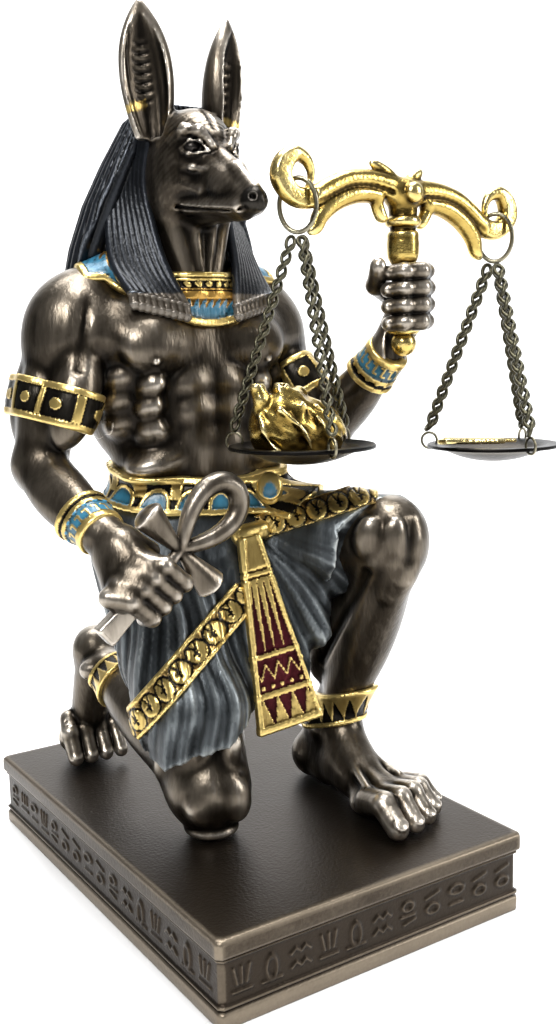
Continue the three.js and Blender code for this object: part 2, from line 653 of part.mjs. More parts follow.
function ankh(c) {
  c.join(limb(ankhPoint(0, 0), 1.5, ankhPoint(-9, 0), 2.1));
  c.join(taper(ankhPoint(-8, 0), ankhPoint(-32, 0), 1.9, 3.4, 2.2, ANKH_FACE), 0.6);
  // the arms flare outwards and have rounded ends
  for (const s of [RIGHT, LEFT]) {
    const tip = ankhPoint(0, 16 * s);
    const reach = [8, 8, 8];
    c.join({
      lo: sub([0, 1, 2].map((i) => Math.min(ANKH_MIDDLE[i], tip[i])), reach),
      hi: add([0, 1, 2].map((i) => Math.max(ANKH_MIDDLE[i], tip[i])), reach),
      at(x, y, z) {
        const p = sub([x, y, z], ANKH_MIDDLE);
        const u = dot(p, ANKH_UP);
        const v = dot(p, ANKH_SIDE) * s;
        const half = 1.2 + 0.2 * clamp(v, 0, 18);
        return Math.max(Math.hypot(p[1] * 1.2, u * 0.86) - half, -v - 0.5, v - 16 + 0.07 * u * u);
      },
    }, 0.4);
  }
  // the loop, as a drop that widens away from the crossing
  const N = 18;
  const drop = (i) => {
    const a = (i / N) * 2 * Math.PI;
    const narrow = Math.pow(Math.max(Math.sin(a / 2), 0), 0.9);
    return ankhPoint(12.6 - 11.6 * Math.cos(a), 8.4 * Math.sin(a) * narrow);
  };
  const thick = (i) => 1.6 + 1.5 * Math.sin((i / N) * Math.PI);
  for (let i = 0; i < N; i++) c.join(limb(drop(i), thick(i), drop(i + 1), thick(i + 1)), 0.3);
}

// A flat bar from a to b, with half widths wa and wb, half thickness t, facing "face"
function taper(a, b, wa, wb, t, face) {
  const d = sub(b, a);
  const length = Math.sqrt(dot(d, d));
  const [w, v, u] = axes(d, face);
  const r = Math.max(wa, wb, t);
  return {
    lo: sub([0, 1, 2].map((i) => Math.min(a[i], b[i])), [r, r, r]),
    hi: add([0, 1, 2].map((i) => Math.max(a[i], b[i])), [r, r, r]),
    at(x, y, z) {
      const p = [x - a[0], y - a[1], z - a[2]];
      const s = dot(p, w);
      const k = clamp(s / length, 0, 1);
      const across = Math.abs(dot(p, u)) - wa - (wb - wa) * k;
      return Math.max(across, Math.abs(dot(p, v)) - t, -s, s - length);
    },
  };
}

function rightHand(c) {
  const hand = (u, v, out) => ankhPoint(u, v, out);
  // back of the hand, from the wrist to the knuckles
  c.join(limb(WRIST_R, 5.8, [-46.5, -18.5, 112.5], 6), 3);
  c.join(limb([-46, -19, 112.5], 5.6, hand(-11, -4, 1.5), 5.2), 3);
  c.join(limb([-47, -18, 110.5], 5.4, hand(-17, -4, 1), 5), 3);
  c.join(limb([-48, -17, 108.5], 5, hand(-21, -3.5, 0), 4.4), 3);
  // four fingers that fold over the shaft
  for (let i = 0; i < 4; i++) {
    const u = -6.5 - i * 4.3;
    const knuckle = hand(u - 1, -3, 5.2 - i * 0.2);
    const middle = hand(u, 5.2, 4.6 - i * 0.3);
    const tip = hand(u - 0.6, 6.8, -2.2);
    c.join(limb(hand(u - 4, -7, 1), 2.9, knuckle, 2.9), 1.5);
    c.join(limb(knuckle, 2.8, middle, 2.6), 0.6);
    c.join(limb(middle, 2.6, tip, 2.1), 0.6);
  }
  c.join(limb([-44, -18, 115], 3, hand(-5.5, -5.5, -2.5), 2.7), 1.5);
}

// One toe, in two joints
function toe(c, root, knuckle, tip, r) {
  c.join(limb(root, r, knuckle, r * 1.02), 1.4);
  c.join(limb(knuckle, r * 0.98, tip, r * 0.86), 0.8);
}

const TOES_L = [
  [[19.5, -44, 31], [18.4, -52.5, 33], [18, -59.6, 28.2], 3.9],
  [[25, -44, 31.5], [25, -52.5, 33.6], [25.2, -59, 27.8], 3.3],
  [[30.5, -42.5, 31.5], [31.2, -50.5, 33.2], [31.8, -56.6, 27.6], 3.2],
  [[35.5, -40, 30.8], [36.6, -47, 32], [37.6, -52.6, 27.4], 3.1],
  [[39.6, -37, 30], [41, -43, 30.8], [42, -48, 27.2], 2.9],
];

function leftLeg(c) {
  const k = (x, y, z) => add(KNEE_L, [x, y, z]);
  const a = (x, y, z) => add(ANKLE_L, [x, y, z]);
  c.join(limb(HIP_L, 18, KNEE_L, 11.5), 6);
  c.join(oval(k(0.6, -0.2, -2), [12.6, 11.4, 11.6]), 4);
  c.join(limb(k(0, -1, -6), 9.5, ANKLE_L, 6.2), 5);
  c.join(muscle(k(-1, 10, -4), a(0, 8, 12), 9.5, 10.5), 5);
  c.join(muscle(k(3, -1, -8), a(3, -4, 12), 7, 8.5), 4);
  c.join(limb(k(-1, -8, -12), 3.4, a(0, -4, 14), 3), 5);
  // kneecap, the muscles that end at it and the tendon below
  c.join(oval([27.6, -46.9, 110.6], [6.2, 3.7, 2.7], [0, -0.15, 1], [1, -0.5, 0]), 1.6);
  c.join(limb([27.6, -46, 103], 2.2, [28.4, -42.6, 93], 1.8), 2.5);
  c.join(oval([21.6, -42, 111], [6, 3.8, 2.8], [0.1, -0.2, 1], [1, -1.2, 0]), 1.8);
  c.join(limb([35.2, -45.6, 115], 2.6, [33.6, -46.8, 101.6], 2.4), 1.8);
  c.carve(limb(k(-10, -3, -10), 0.8, a(-7, -2, 22), 0.6), 2.5);
  // foot
  c.join(oval(HEEL_L, [7, 6.6, 8]), 3);
  c.join(limb(a(0, 3, 6), 5, add(HEEL_L, [0, 0, 2]), 6), 4);
  c.join(limb(a(0, 2, -4), 7, add(HEEL_L, [0, -10, 0]), 7), 4);
  c.join(limb(ANKLE_L, 7, [28, -28, 34], 7), 5);
  c.join(limb([28, -22, 33], 7.5, [27, -40, 29], 6.5), 4);
  c.join(oval([29, -41, 28.5], [5, 12.5, 9]), 3);
  for (const s of [RIGHT, LEFT]) c.join(oval(a(6 * s, 1, -1), [3, 3, 3]), 2.5);
  for (const [root, knuckle, tip, r] of TOES_L) toe(c, root, knuckle, tip, r);
}

function rightLeg(c) {
  const k = (x, y, z) => add(KNEE_R, [x, y, z]);
  c.join(limb(HIP_R, 19, KNEE_R, 12.5), 6);
  c.join(oval(k(0, -3, -1), [10, 9.5, 8.5], [0, -0.5, 1]), 4);
  c.join(limb(KNEE_R, 11, ANKLE_R, 6.2), 4);
  c.join(muscle(k(-1, 8, 5), add(ANKLE_R, [0, -6, 0]), 10, 9.5), 5);
  c.join(limb(KNEE_R, 9, [-22.5, -22.5, 27], 6.8), 3);
  // kneecap, and the muscles above it
  c.join(oval([-18.8, -27, 48], [9, 3.6, 3.7], [0, -0.5, 1]), 2.5);
  c.join(oval([-27.6, -23.2, 49], [9, 3.8, 3.6], [0, -0.5, 1]), 2.5);
  c.join(oval([-33, -16, 48], [8, 3.4, 3.4], [0.1, -0.5, 1]), 2.5);
  c.join(oval([-18.6, -31, 36.5], [6.4, 4.6, 3.4], [0, 0.1, 1]), 1.8);
  c.join(oval([-28.6, -27.6, 35.5], [4.6, 4.8, 3.2], [0, 0.2, 1]), 2);
  c.join(ring([-22.5, -22.5, 26.6], [0, 0, 1], 6.6, 1.6), 0.6);
  // foot, up on its toes
  c.join(oval([-27.5, 45.5, 67], [7, 6.4, 7]), 4);
  c.join(limb([-27.5, 45, 64], 6.8, BALL_R, 6), 5);
  c.join(oval(add(BALL_R, [0, 0, 1]), [7, 10, 6.5]), 4);
  for (const s of [RIGHT, LEFT]) c.join(oval(add(ANKLE_R, [6 * s, 1, 0]), [3.2, 3.2, 3.2]), 2.5);
  for (let i = 0; i < 4; i++) {
    const x = -35.6 + i * 5.4;
    toe(c, [x + 0.8 * (1.5 - i), 55, 40], [x, 51.4, 36.4], [x, 47.2 - 0.5 * i, 28.2], 3.1 - 0.1 * i);
  }
}

// The hair: a mane that widens from the crown to the shoulders, ridged in strands, open at
// the face, and two bundles of strands that fall on the chest
const MANE = [
  // height, middle x and y, half width, half depth
  [240, -6, 15, 8, 8],
  [234, -6, 18, 15, 15],
  [222, -6, 22, 20.5, 21],
  [210, -6, 24, 26, 25],
  [197, -6, 25, 30.5, 27],
  [186, -6, 26, 33, 25],
  [172, -6, 27, 31, 24],
];
const STRANDS = 44;
const STRAND_DEPTH = 1.1;
const MANE_LOW = 166;
const LAPPET_STRANDS = 7;

function mane(c) {
  c.join({
    lo: [-42, -2, MANE_LOW],
    hi: [32, 54, 241],
    at(x, y, z) {
      let i = 0;
      while (i < MANE.length - 2 && z < MANE[i + 1][0]) i++;
      const [A, B] = [MANE[i], MANE[i + 1]];
      const t = clamp((A[0] - z) / (A[0] - B[0]), 0, 1);
      const [, mx, my, a, b] = A.map((q, j) => q + (B[j] - q) * t);
      const px = x - mx;
      const py = y - my;
      const turn = Math.atan2(px, py);
      const strand = STRAND_DEPTH * Math.abs(Math.cos((turn * STRANDS) / 2));
      const out = (Math.hypot(px / a, py / b) - 1) * Math.min(a, b) + STRAND_DEPTH - strand;
      // the face and throat stay open, and the hair ends in a curve over the shoulders
      const front = 13 + clamp((224 - z) * 0.3, 0, 10) - y;
      const hem = MANE_LOW + 5 + 0.5 * Math.abs(px) - z;
      return Math.max(out, front * 0.9, hem * 0.8, z - 239);
    },
  });
}

function lappets(c) {
  for (const s of [RIGHT, LEFT]) {
    for (let i = 0; i < LAPPET_STRANDS; i++) {
      const k = i / (LAPPET_STRANDS - 1);
      const path = [
        at(s, 12 + 5 * k, 10 + 9 * k, 232 - 3 * k),
        at(s, 14 + 6.5 * k, 12.4 + 9 * k, 216),
        at(s, 13.5 + 9.5 * k, 9.5 + 9 * k, 203),
        at(s, 12.4 + 12.2 * k, 4.6 + 8 * k, 191),
        at(s, 9 + 14.6 * k, -1.6 + 4.6 * k, 178.4 + 3.6 * k),
      ];
      tube(c, path, [1.8, 1.8, 1.8, 1.8, 1.8], 0.4);
      const foot = path[path.length - 1];
      c.join(limb(foot, 1.8, add(foot, [0, -0.7, -3]), 1.8), 0.3);
    }
  }
}

// Cloth, jewellery and hair follow what is under them

// Jewelled bands round the limbs: middle, direction of the limb, half width, reach, thickness
const ARMLET_R = [[-48.4, 17.5, 150.4], [-0.31, 0.03, -0.95], 5.8, 18, 1.3];
const BRACELET_R = [[-49.6, -7.6, 117.6], [0.14, -0.87, -0.476], 5.3, 13, 1.3];
const ARMLET_L = [[36, 14, 154], [0.3, -0.42, -0.82], 6.2, 16, 1.4];
const BRACELET_L = [[45, -19, 160.5], [0.08, -0.72, 0.69], 5.8, 12, 1.4];
const ANKLET_L = [[30.5, -16, 51], [0.05, -0.25, -1], 4.8, 15, 1.3];
const ANKLET_R = [[-28, 29, 60], [-0.15, 0.9, 0.4], 4, 13, 1.2];
const BELT = [[-3.5, 13, 125.3], [0, -0.15, 1], 4.8, 40, 1.5];

function collar(c) {
  const [cx, cy] = [-5, 16];
  c.within([-42, -16, 168], [32, 48, 206], 0, (old, x, y, z) => {
    const r = Math.hypot((x - cx) / 1.18, y - cy);
    const low = 173 + Math.min(0.0185 * (x - cx) ** 2, 14) - z;
    const top = 188.5 + 0.5 * Math.max(Math.abs(x - cx) - 10, 0);
    return Math.min(old, Math.max(old - 1.3, r - 28.5, low * 0.8, 11 - r, z - top));
  });
}

// The kilt's cloth, pleated and falling from the belt over both thighs
const KNOT = [-3, -13, 111];

function cloth(c) {
  c.join(limb(add(PELVIS, [0, 0, 12]), 22, add(PELVIS, [0, 0, -6]), 25), 0);
  c.join(oval([-3, 13.5, 108], [20, 32.6, 21.6]), 4);
  c.join(limb(add(HIP_R, [-1, -1, 0]), 22.5, [-22, -13.5, 60], 17.5), 8);
  c.join(limb([-22, -14.6, 60], 17, [-21.5, -15.8, 48], 16), 3);
  c.join(limb(add(HIP_L, [0, -2, -1]), 20, [25, -26, 107], 15), 8);
  c.join(limb([25, -26, 107], 15, [32.6, -40, 109.2], 13), 3);
  c.join(limb([-3, -4, 98], 15, [-4, -16, 58], 9), 7);
  c.join(limb([8, -10, 96], 12, [8.5, -22, 68], 5.5), 6);
  c.join(limb([16, -20, 98], 8, [15.5, -25, 80], 4), 5);
  // the back, over the seat
  c.join(oval([-4, 26, 98], [22, 24, 14]), 8);
  // the hem over the right knee rises inwards, and a slanting edge ends the cloth at the left knee
  c.within([-70, -70, 20], [65, 75, 140], 0, (old, x, y, z) => {
    const low = x < 2 ? 47 + 0.42 * clamp(x + 38, 0, 40) * clamp((4 - y) / 20, 0, 1) : 48;
    const slant = -y - 36.5 - 0.35 * (z - 112) - 12 * clamp((15 - x) / 3, 0, 1);
    return Math.max(old, low - z, (slant - 20 * clamp((92 - z) / 6, 0, 1)) * 0.8);
  });
  // pleats, round the right thigh and fanning out of the knot on the left
  c.within([-60, -50, 40], [45, 50, 120], 0, (old, x, y, z) => {
    const right = Math.atan2(x + 16, -(y - 12)) * 17;
    const fan = Math.atan2(x - KNOT[0] + 2, KNOT[2] + 6 - z) * 20;
    const k = clamp((x + 6) / 8, 0, 1);
    const deep = 0.62 * clamp((112 - z) / 30, 0, 1) * clamp(old + 3, 0, 1);
    const wobble = 0.9 * Math.sin(z * 0.09 + x * 0.07) + 0.5 * Math.sin(z * 0.21 + y * 0.1);
    return old + deep * (Math.sin(right + wobble) * (1 - k) + Math.sin(fan + wobble) * k);
  });
}

// Edge bands on the kilt, each in the plane through two points and the line of sight
function trims(c) {
  const strip = (a, b, half, reach, out) => {
    const m = mix(a, b, 0.5);
    c.band(m, cross(sub(b, a), VIEW_BACK), half, reach, out);
  };
  strip([-8, -22, 94.5], [-37.5, -2, 55], 4.3, 27, 1.3);
  strip([3, -16, 113], [29, -33, 122.5], 3.4, 19, 1.2);
}

function sash(c) {
  c.join(taper([-5, -19, 111], [2, -29, 54], 3.2, 10.6, 1.4, [-0.1, -1, -0.15]), 0.4);
  c.join(limb([-6, -16.5, 111], 3, [1, -16.5, 112], 3), 1.5);
  c.join(oval([4, -17.4, 124.4], [5, 4, 1.7], [0, 0, 1], [0.836, -0.549, 0]), 0.3);
  c.join(limb([-4, -16, 110], 3.2, [-4, -18, 104], 2.6), 1.5);
}

// The balance, its pans and what lies in them

// A point of the beam: u along it from the column's axis, z up from it, out of its plane
const beamPoint = (u, z, out = 0) => [
  COLUMN_X + u * Math.cos(BEAM_TILT) - z * Math.sin(BEAM_TILT),
  BEAM_Y - out,
  BEAM_Z + u * Math.sin(BEAM_TILT) + z * Math.cos(BEAM_TILT),
];

// The middle of the ring over a pan
const ringMiddle = (s, pan) => [pan[0], BEAM_Y, beamPoint(s * EYE_REACH, RING_TOP)[2] - RING_HALF_HEIGHT];

function tube(c, points, radii, k) {
  for (let i = 0; i < points.length - 1; i++) {
    c.join(limb(points[i], radii[i], points[i + 1], radii[i + 1]), k);
  }
}

function balance(c) {
  for (const s of [RIGHT, LEFT]) {
    const p = (u, z) => beamPoint(s * u, z);
    // an arched arm that ends in a scroll with an open eye
    tube(c, [p(0, -1), p(8, 0.6), p(14, 1), p(21, 0), p(27, -2.8), p(31, -5.4), p(35.4, -7), p(40, -6.4),
      p(43.6, -2.4), p(42.9, 1.8), p(39.6, 4.5), p(35.9, 3.7), p(33.9, 1.1), p(33.7, -1.8), p(34.6, -4.2)],
      [4.4, 3.6, 3.2, 3, 3, 3.1, 3.1, 3, 3.2, 3, 2.4, 1.8, 1.3, 1, 1], 1);
    // web under the arm that ends in a leaf, the inner curl and the upper leaf
    const bend = [[10, -2.6], [16, -2.8], [21.5, -4.6], [26.2, -7.4]];
    const leaf = [...bend, [29.6, -11], [31, -14.4], [32.6, -15.8]];
    tube(c, leaf.map(([u, z]) => p(u, z)), [2.6, 3, 3, 2.9, 2.6, 2.1, 1.2], 0.6);
    tube(c, [p(10, -1.5), p(9.6, -5), p(7.8, -8.4), p(6.4, -8.8)], [2.4, 2, 1.9, 1.1], 1);
    const fin = 9 - 3 * s;
    tube(c, [p(2, 0), p(fin / 2, 3.4), p(fin * 0.83, 5.4), p(fin, 6.2)], [2.4, 2.2, 1.7, 1.1], 0.8);
  }
  // the scrolls have flat sides
  c.within([-10, BEAM_Y - 12, 190], [110, BEAM_Y + 12, 224], 0, (old, x, y) => {
    const inward = 33 - Math.abs(x - COLUMN_X);
    return inward > 0 ? old : Math.max(old, Math.abs(y - BEAM_Y) - SCROLL_HALF_THICK);
  });
  // room for the wires of the rings that hang in the scrolls' eyes
  for (const [s, pan] of [[RIGHT, PAN_R], [LEFT, PAN_L]]) {
    const wire = (i) => {
      const a = (i / 24) * 2 * Math.PI;
      const across = scale(RING_ACROSS, RING_HALF_WIDTH * Math.cos(a));
      return add(ringMiddle(s, pan), add(across, [0, 0, RING_HALF_HEIGHT * Math.sin(a)]));
    };
    for (let i = 0; i < 24; i++) c.carve(limb(wire(i), RING_ROOM, wire(i + 1), RING_ROOM), 0.4);
  }
  // hub, and a round boss on its front
  c.join(oval([COLUMN_X, BEAM_Y, BEAM_Z - 1.5], [5, 6, 5.4]), 1.5);
  c.join(oval([COLUMN_X, BEAM_Y - 5.4, BEAM_Z - 1], [3, 3, 2]), 0.6);
  // column: rings, barrel, grip, rings and ball
  const turned = (z0, z1, r0, r1, k = 0.5) => {
    c.join(limb([COLUMN_X, BEAM_Y, z0], r0, [COLUMN_X, BEAM_Y, z1], r1), k);
  };
  turned(BEAM_Z - 2, 201, 4.6, 4);
  c.join(ring([COLUMN_X, BEAM_Y, 202.4], [0, 0, 1], 3.9, 1.6), 0.3);
  c.join(ring([COLUMN_X, BEAM_Y, 198.6], [0, 0, 1], 3.6, 1.2), 0.3);
  turned(196, 193.4, COLUMN_RADIUS, COLUMN_RADIUS - 0.1, 0.8);
  turned(194, 172, GRIP_RADIUS, GRIP_RADIUS);
  c.join(ring([COLUMN_X, BEAM_Y, 170.6], [0, 0, 1], 3.6, 1.5), 0.3);
  c.join(oval([COLUMN_X, BEAM_Y, 166.4], [3.9, 3.9, 3.9]), 0.6);
}

// The heart: two chambers that taper to a point, with vessels at the top and grooves between
const HEART_AT = [PAN_R[0] - 2.2, PAN_R[1] + 0.8, PAN_R[2] - 5.2];

function heart(c) {
  const h = (x, y, z) => add(HEART_AT, [x, y, z]);
  c.join(oval(h(-3, 0.5, 11.5), [11, 10.5, 9], [0.2, 0, 1]));
  c.join(oval(h(6, -0.5, 9), [9.6, 9.4, 8.4], [-0.35, 0, 1]), 3);
  c.join(oval(h(11, 0, 8), [5, 5.2, 4.6]), 4);
  c.join(limb(h(-10, 0, 17), 3, h(-12, 0.5, 22.6), 2.1), 1.2);
  c.join(limb(h(-4.5, -1.5, 19), 3.4, h(-5, -1.5, 22), 2.5), 1.2);
  c.join(limb(h(-1, 1, 18.5), 3.4, h(3, 1.5, 20.4), 2.3), 1.5);
  c.carve(limb(h(0, -9.8, 18), 0.8, h(3.4, -10, 4), 0.7), 1.6);
  c.carve(limb(h(-11, -8, 12), 0.6, h(-4, -10, 7.5), 0.6), 1.2);
}

// The feather lies flat, its tip over the rim on the figure's side
const FEATHER_AT = [PAN_L[0] - 7.5, PAN_L[1] - 1, PAN_L[2] + 1.9];

function feather(c) {
  const q = (u, z, v = 0) => add(FEATHER_AT, [u, v, z]);
  c.join(taper(q(-15.5, 0.6), q(-4, 0), 1.6, 4.2, 0.8, [0, 0.1, 1]));
  c.join(taper(q(-4.2, 0), q(9, -0.7), 4.2, 3.4, 0.8, [0, 0.1, 1]), 0.5);
  c.join(limb(q(-14, 1, 0), 0.7, q(17.5, -1.2, 1), 0.8), 0.8);
}

// Plain solids as geometry of their own

function geometryOf({ points, faces }) {
  const g = new THREE.BufferGeometry();
  g.setAttribute("position", new THREE.BufferAttribute(Float32Array.from(points), 3));
  g.setIndex(faces);
  g.computeVertexNormals();
  return g;
}

// Joins rings of points into a skin. A loop closes on itself, anything else gets flat ends
function skin(rings, loop) {
  const n = rings[0].length;
  const points = rings.flat(2);
  const faces = [];
  const last = loop ? rings.length : rings.length - 1;
  for (let i = 0; i < last; i++) {
    const a = i * n;
    const b = ((i + 1) % rings.length) * n;
    for (let j = 0; j < n; j++) {
      const k = (j + 1) % n;
      faces.push(a + j, a + k, b + k, a + j, b + k, b + j);
    }
  }
  if (!loop) {
    const e = (rings.length - 1) * n;
    for (let j = 1; j < n - 1; j++) faces.push(0, j + 1, j, e, e + j, e + j + 1);
  }
  return { points, faces };
}

// A round wire bent into an oval ring: centre, in-plane axes with their half sizes, wire radius
function wireRing(c, u, ru, v, rv, wire, turns, sides) {
  const n = unit(cross(u, v));
  const rings = [];
  for (let i = 0; i < turns; i++) {
    const a = (i / turns) * 2 * Math.PI;
    const middle = add(c, add(scale(u, ru * Math.cos(a)), scale(v, rv * Math.sin(a))));
    const out = unit(add(scale(u, Math.cos(a) / ru), scale(v, Math.sin(a) / rv)));
    rings.push(
      Array.from({ length: sides }, (_, j) => {
        const b = (-j / sides) * 2 * Math.PI;
        return add(middle, add(scale(out, wire * Math.cos(b)), scale(n, wire * Math.sin(b))));
      }),
    );
  }
  return skin(rings, true);
}

// A chain as one twisted four sided bar
function chainBar(a, b) {
  const length = Math.sqrt(dot(sub(b, a), sub(b, a)));
  const [w, u, v] = axes(sub(b, a), [1, 0.3, 0]);
  const steps = Math.round(length / CHAIN_TWIST) * 2;
  const rings = [];
  for (let i = 0; i <= steps; i++) {
    const middle = add(a, scale(w, (length * i) / steps));
    rings.push(
      [0, 1, 2, 3].map((j) => {
        const t = (j / 4) * 2 * Math.PI + (i * Math.PI) / 4;
        const r = j % 2 ? CHAIN_WIDE : CHAIN_THIN;
        return add(middle, add(scale(u, r * Math.cos(t)), scale(v, r * Math.sin(t))));
      }),
    );
  }
  return skin(rings, false);
}

// A block with small chamfers up its edges, given as [height, inset] from the bottom up
function plinthBlock(levels) {
  return skin(
    levels.map(([z, inset]) => {
      const x = PLINTH_WIDTH / 2 - inset;
      const y = PLINTH_DEPTH / 2 - inset;
      const e = PLINTH_CHAMFER;
      const right = [[x, -y + e], [x, y - e], [x - e, y]];
      const left = [[-x + e, y], [-x, y - e], [-x, -y + e]];
      return [...right, ...left, [-x + e, -y], [x - e, -y]].map(([px, py]) => [px, py, z]);
    }),
    false,
  );
}

function panDish(c) {
  const R = PAN_RADIUS;
  const T = PAN_THICK;
  const D = PAN_DEPTH;
  const inner = [];
  const outer = [];
  for (let i = 0; i <= 3; i++) {
    const r = (i / 3) * (R - 4);
    const z = -D * (1 - (r / (R - 4)) ** 2.2);
    inner.push(new THREE.Vector2(r, z + T));
    outer.unshift(new THREE.Vector2(r, z));
  }
  const profile = [...inner, new THREE.Vector2(R, T), new THREE.Vector2(R, 0), ...outer];
  const g = new THREE.LatheGeometry(profile.reverse(), 24);
  g.rotateX(Math.PI / 2);
  g.translate(c[0], c[1], c[2] - T / 2);
  return g;
}

// Everything as named solids

function figure() {
  const lo = [-66, -66, 22];
  const hi = [62, 74, 274];
  const body = new Clay(lo, hi, BODY_STEP);
  trunk(body);
  neck(body);
  head(body);
  rightArm(body);
  leftArm(body);
  rightLeg(body);
  leftLeg(body);
  collar(body);
  for (const jewel of [ARMLET_R, BRACELET_R, ARMLET_L, BRACELET_L, ANKLET_L, ANKLET_R]) body.band(...jewel);
  const kilt = new Clay(lo, hi, BODY_STEP);
  cloth(kilt);
  trims(kilt);
  body.merge(kilt);
  body.band(...BELT);
  sash(body);
  mane(body);
  lappets(body);
  ear(body, ...EAR_R);
  ear(body, ...EAR_L);
  ankh(body);
  rightHand(body);
  leftHand(body);
  return body.flatten(GROUND);
}

const group = new THREE.Group();

function piece(name, geometry, colour, metal = 0.6) {
  const material = new THREE.MeshStandardMaterial({ color: colour, metalness: metal, roughness: 0.45 });
  const mesh = new THREE.Mesh(geometry, material);
  mesh.name = name;
  group.add(mesh);
}

// Manifold does the cuts: the grip's hole through the fist and the ring holes in the pans
function solid({ points, faces }) {
  const vertProperties = Float32Array.from(points);
  const triVerts = Uint32Array.from(faces);
  return new wasm.Manifold(new wasm.Mesh({ numProp: 3, vertProperties, triVerts }));
}

function fromSolid(s) {
  const m = s.getMesh();
  const points = [];
  for (let i = 0; i < m.numVert; i++) {
    points.push(...m.vertProperties.subarray(i * m.numProp, i * m.numProp + 3));
  }
  return geometryOf({ points, faces: Array.from(m.triVerts) });
}

function indexed(g) {
  const m = mergeVertices(new THREE.BufferGeometry().setAttribute("position", g.getAttribute("position"))
    .setIndex(g.index), 1e-4);
  const keep = [];
  const f = m.index.array;
  for (let i = 0; i < f.length; i += 3) {
    if (f[i] !== f[i + 1] && f[i + 1] !== f[i + 2] && f[i] !== f[i + 2]) keep.push(f[i], f[i + 1], f[i + 2]);
  }
  return { points: Array.from(m.attributes.position.array), faces: keep };
}

// Height of a pan's upper face above its rim plane, r mm from its middle
function dishTop(r) {
  const flat = PAN_RADIUS - 4;
  return PAN_THICK / 2 - (r < flat ? PAN_DEPTH * (1 - (r / flat) ** 2.2) : 0);
}

// A round bar along z, from z0 to z1 about x, y
function bar(x, y, z0, z1, r, sides) {
  const at = (z) => Array.from({ length: sides }, (_, i) => {
    const a = (i / sides) * 2 * Math.PI;
    return [x + r * Math.cos(a), y + r * Math.sin(a), z];
  });
  return solid(skin([at(z0), at(z1)], false));
}

const carved = solid(thin(figure().surface(), BODY_FACES));
const gripHole = bar(COLUMN_X, BEAM_Y, 150, 215, GRIP_RADIUS + 0.35, 14);
const upperHole = bar(COLUMN_X, BEAM_Y, 189.6, 205, COLUMN_RADIUS + 0.6, 16);
const lowerHole = bar(COLUMN_X, BEAM_Y, 155, 173.4, COLUMN_RADIUS + 0.8, 16);
piece("figure", fromSolid(carved.subtract(gripHole).subtract(upperHole).subtract(lowerHole)), 0x4a3d33);

const beamClay = new Clay([-8, -42, 158], [100, -18, 224], BEAM_STEP);
balance(beamClay);
piece("balance_beam", geometryOf(thin(beamClay.surface(), BEAM_FACES)), 0xb8902f);

const heartClay = new Clay(add(HEART_AT, [-20, -14, -4]), add(HEART_AT, [20, 14, 28]), SMALL_STEP);
heart(heartClay);
heartClay.within(sub(HEART_AT, [30, 30, 9]), add(HEART_AT, [30, 30, 9]), 0, (old, x, y, z) =>
  Math.max(old, PAN_R[2] + dishTop(Math.hypot(x - PAN_R[0], y - PAN_R[1])) + 2 * GAP - z));
piece("heart", geometryOf(thin(heartClay.surface(), HEART_FACES)), 0xc0932c);

const featherClay = new Clay(add(FEATHER_AT, [-20, -9, -5]), add(FEATHER_AT, [22, 9, 6]), SMALL_STEP);
feather(featherClay);
piece("feather", geometryOf(thin(featherClay.surface(), FEATHER_FACES)), 0xa8823a);

piece("plinth", geometryOf(plinthBlock(PLINTH_LEVELS)), 0x3a2c20, 0.3);

for (const [side, s, pan] of [["right", RIGHT, PAN_R], ["left", LEFT, PAN_L]]) {
  const ringAt = ringMiddle(s, pan);
  const hoop = wireRing(ringAt, RING_ACROSS, RING_HALF_WIDTH, [0, 0, 1], RING_HALF_HEIGHT, RING_WIRE, 16, 6);
  piece("top_ring_" + side, geometryOf(hoop), 0x5a5340, 0.8);
  let dish = solid(indexed(panDish(pan)));
  PAN_RING_TURNS.forEach((deg, i) => {
    const a = (deg * Math.PI) / 180;
    const out = [Math.cos(a), Math.sin(a), 0];
    const hole = add(pan, scale(out, PAN_RADIUS - 2.4));
    dish = dish.subtract(bar(hole[0], hole[1], hole[2] - 3, hole[2] + 3, 1.35, 8));
    const middle = add(pan, add(scale(out, PAN_RADIUS - 0.15), [0, 0, 1.3]));
    piece("pan_ring_" + side + "_" + (i + 1),
      geometryOf(wireRing(middle, out, 2.6, [0, 0, 1], 2.6, 0.5, 12, 5)), 0x5a5340, 0.8);
    const top = add(ringAt, add(scale(out, 2.1), [0, 0, -RING_HALF_HEIGHT - RING_WIRE - 1.2]));
    const foot = add(middle, [0, 0, 2.6 + 0.5 + CHAIN_WIDE * 0.5 + 0.3]);
    piece("chain_" + side + "_" + (i + 1), geometryOf(chainBar(top, foot)), 0x4e4a38, 0.8);
  });
  piece("pan_" + side, fromSolid(dish), 0x40372c);
}

export default group;
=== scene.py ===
import math

import bpy
import numpy as np
from mathutils import Matrix, Vector


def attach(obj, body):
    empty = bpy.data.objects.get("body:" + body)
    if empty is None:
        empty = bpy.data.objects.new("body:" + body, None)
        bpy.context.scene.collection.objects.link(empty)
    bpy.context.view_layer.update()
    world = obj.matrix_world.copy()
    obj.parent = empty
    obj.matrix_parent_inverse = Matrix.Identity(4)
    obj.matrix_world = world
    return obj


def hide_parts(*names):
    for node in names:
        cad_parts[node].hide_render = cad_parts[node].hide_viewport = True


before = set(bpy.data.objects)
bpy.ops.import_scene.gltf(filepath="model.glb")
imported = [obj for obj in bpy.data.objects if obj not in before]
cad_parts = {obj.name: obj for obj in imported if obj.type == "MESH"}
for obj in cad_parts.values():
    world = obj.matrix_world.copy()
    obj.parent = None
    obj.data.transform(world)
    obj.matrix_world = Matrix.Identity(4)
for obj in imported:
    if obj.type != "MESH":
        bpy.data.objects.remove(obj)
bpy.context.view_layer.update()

# Lengths are millimetres until a mesh is made, and the shapes follow part.mjs.
MM = 0.001
FAR = 9.0
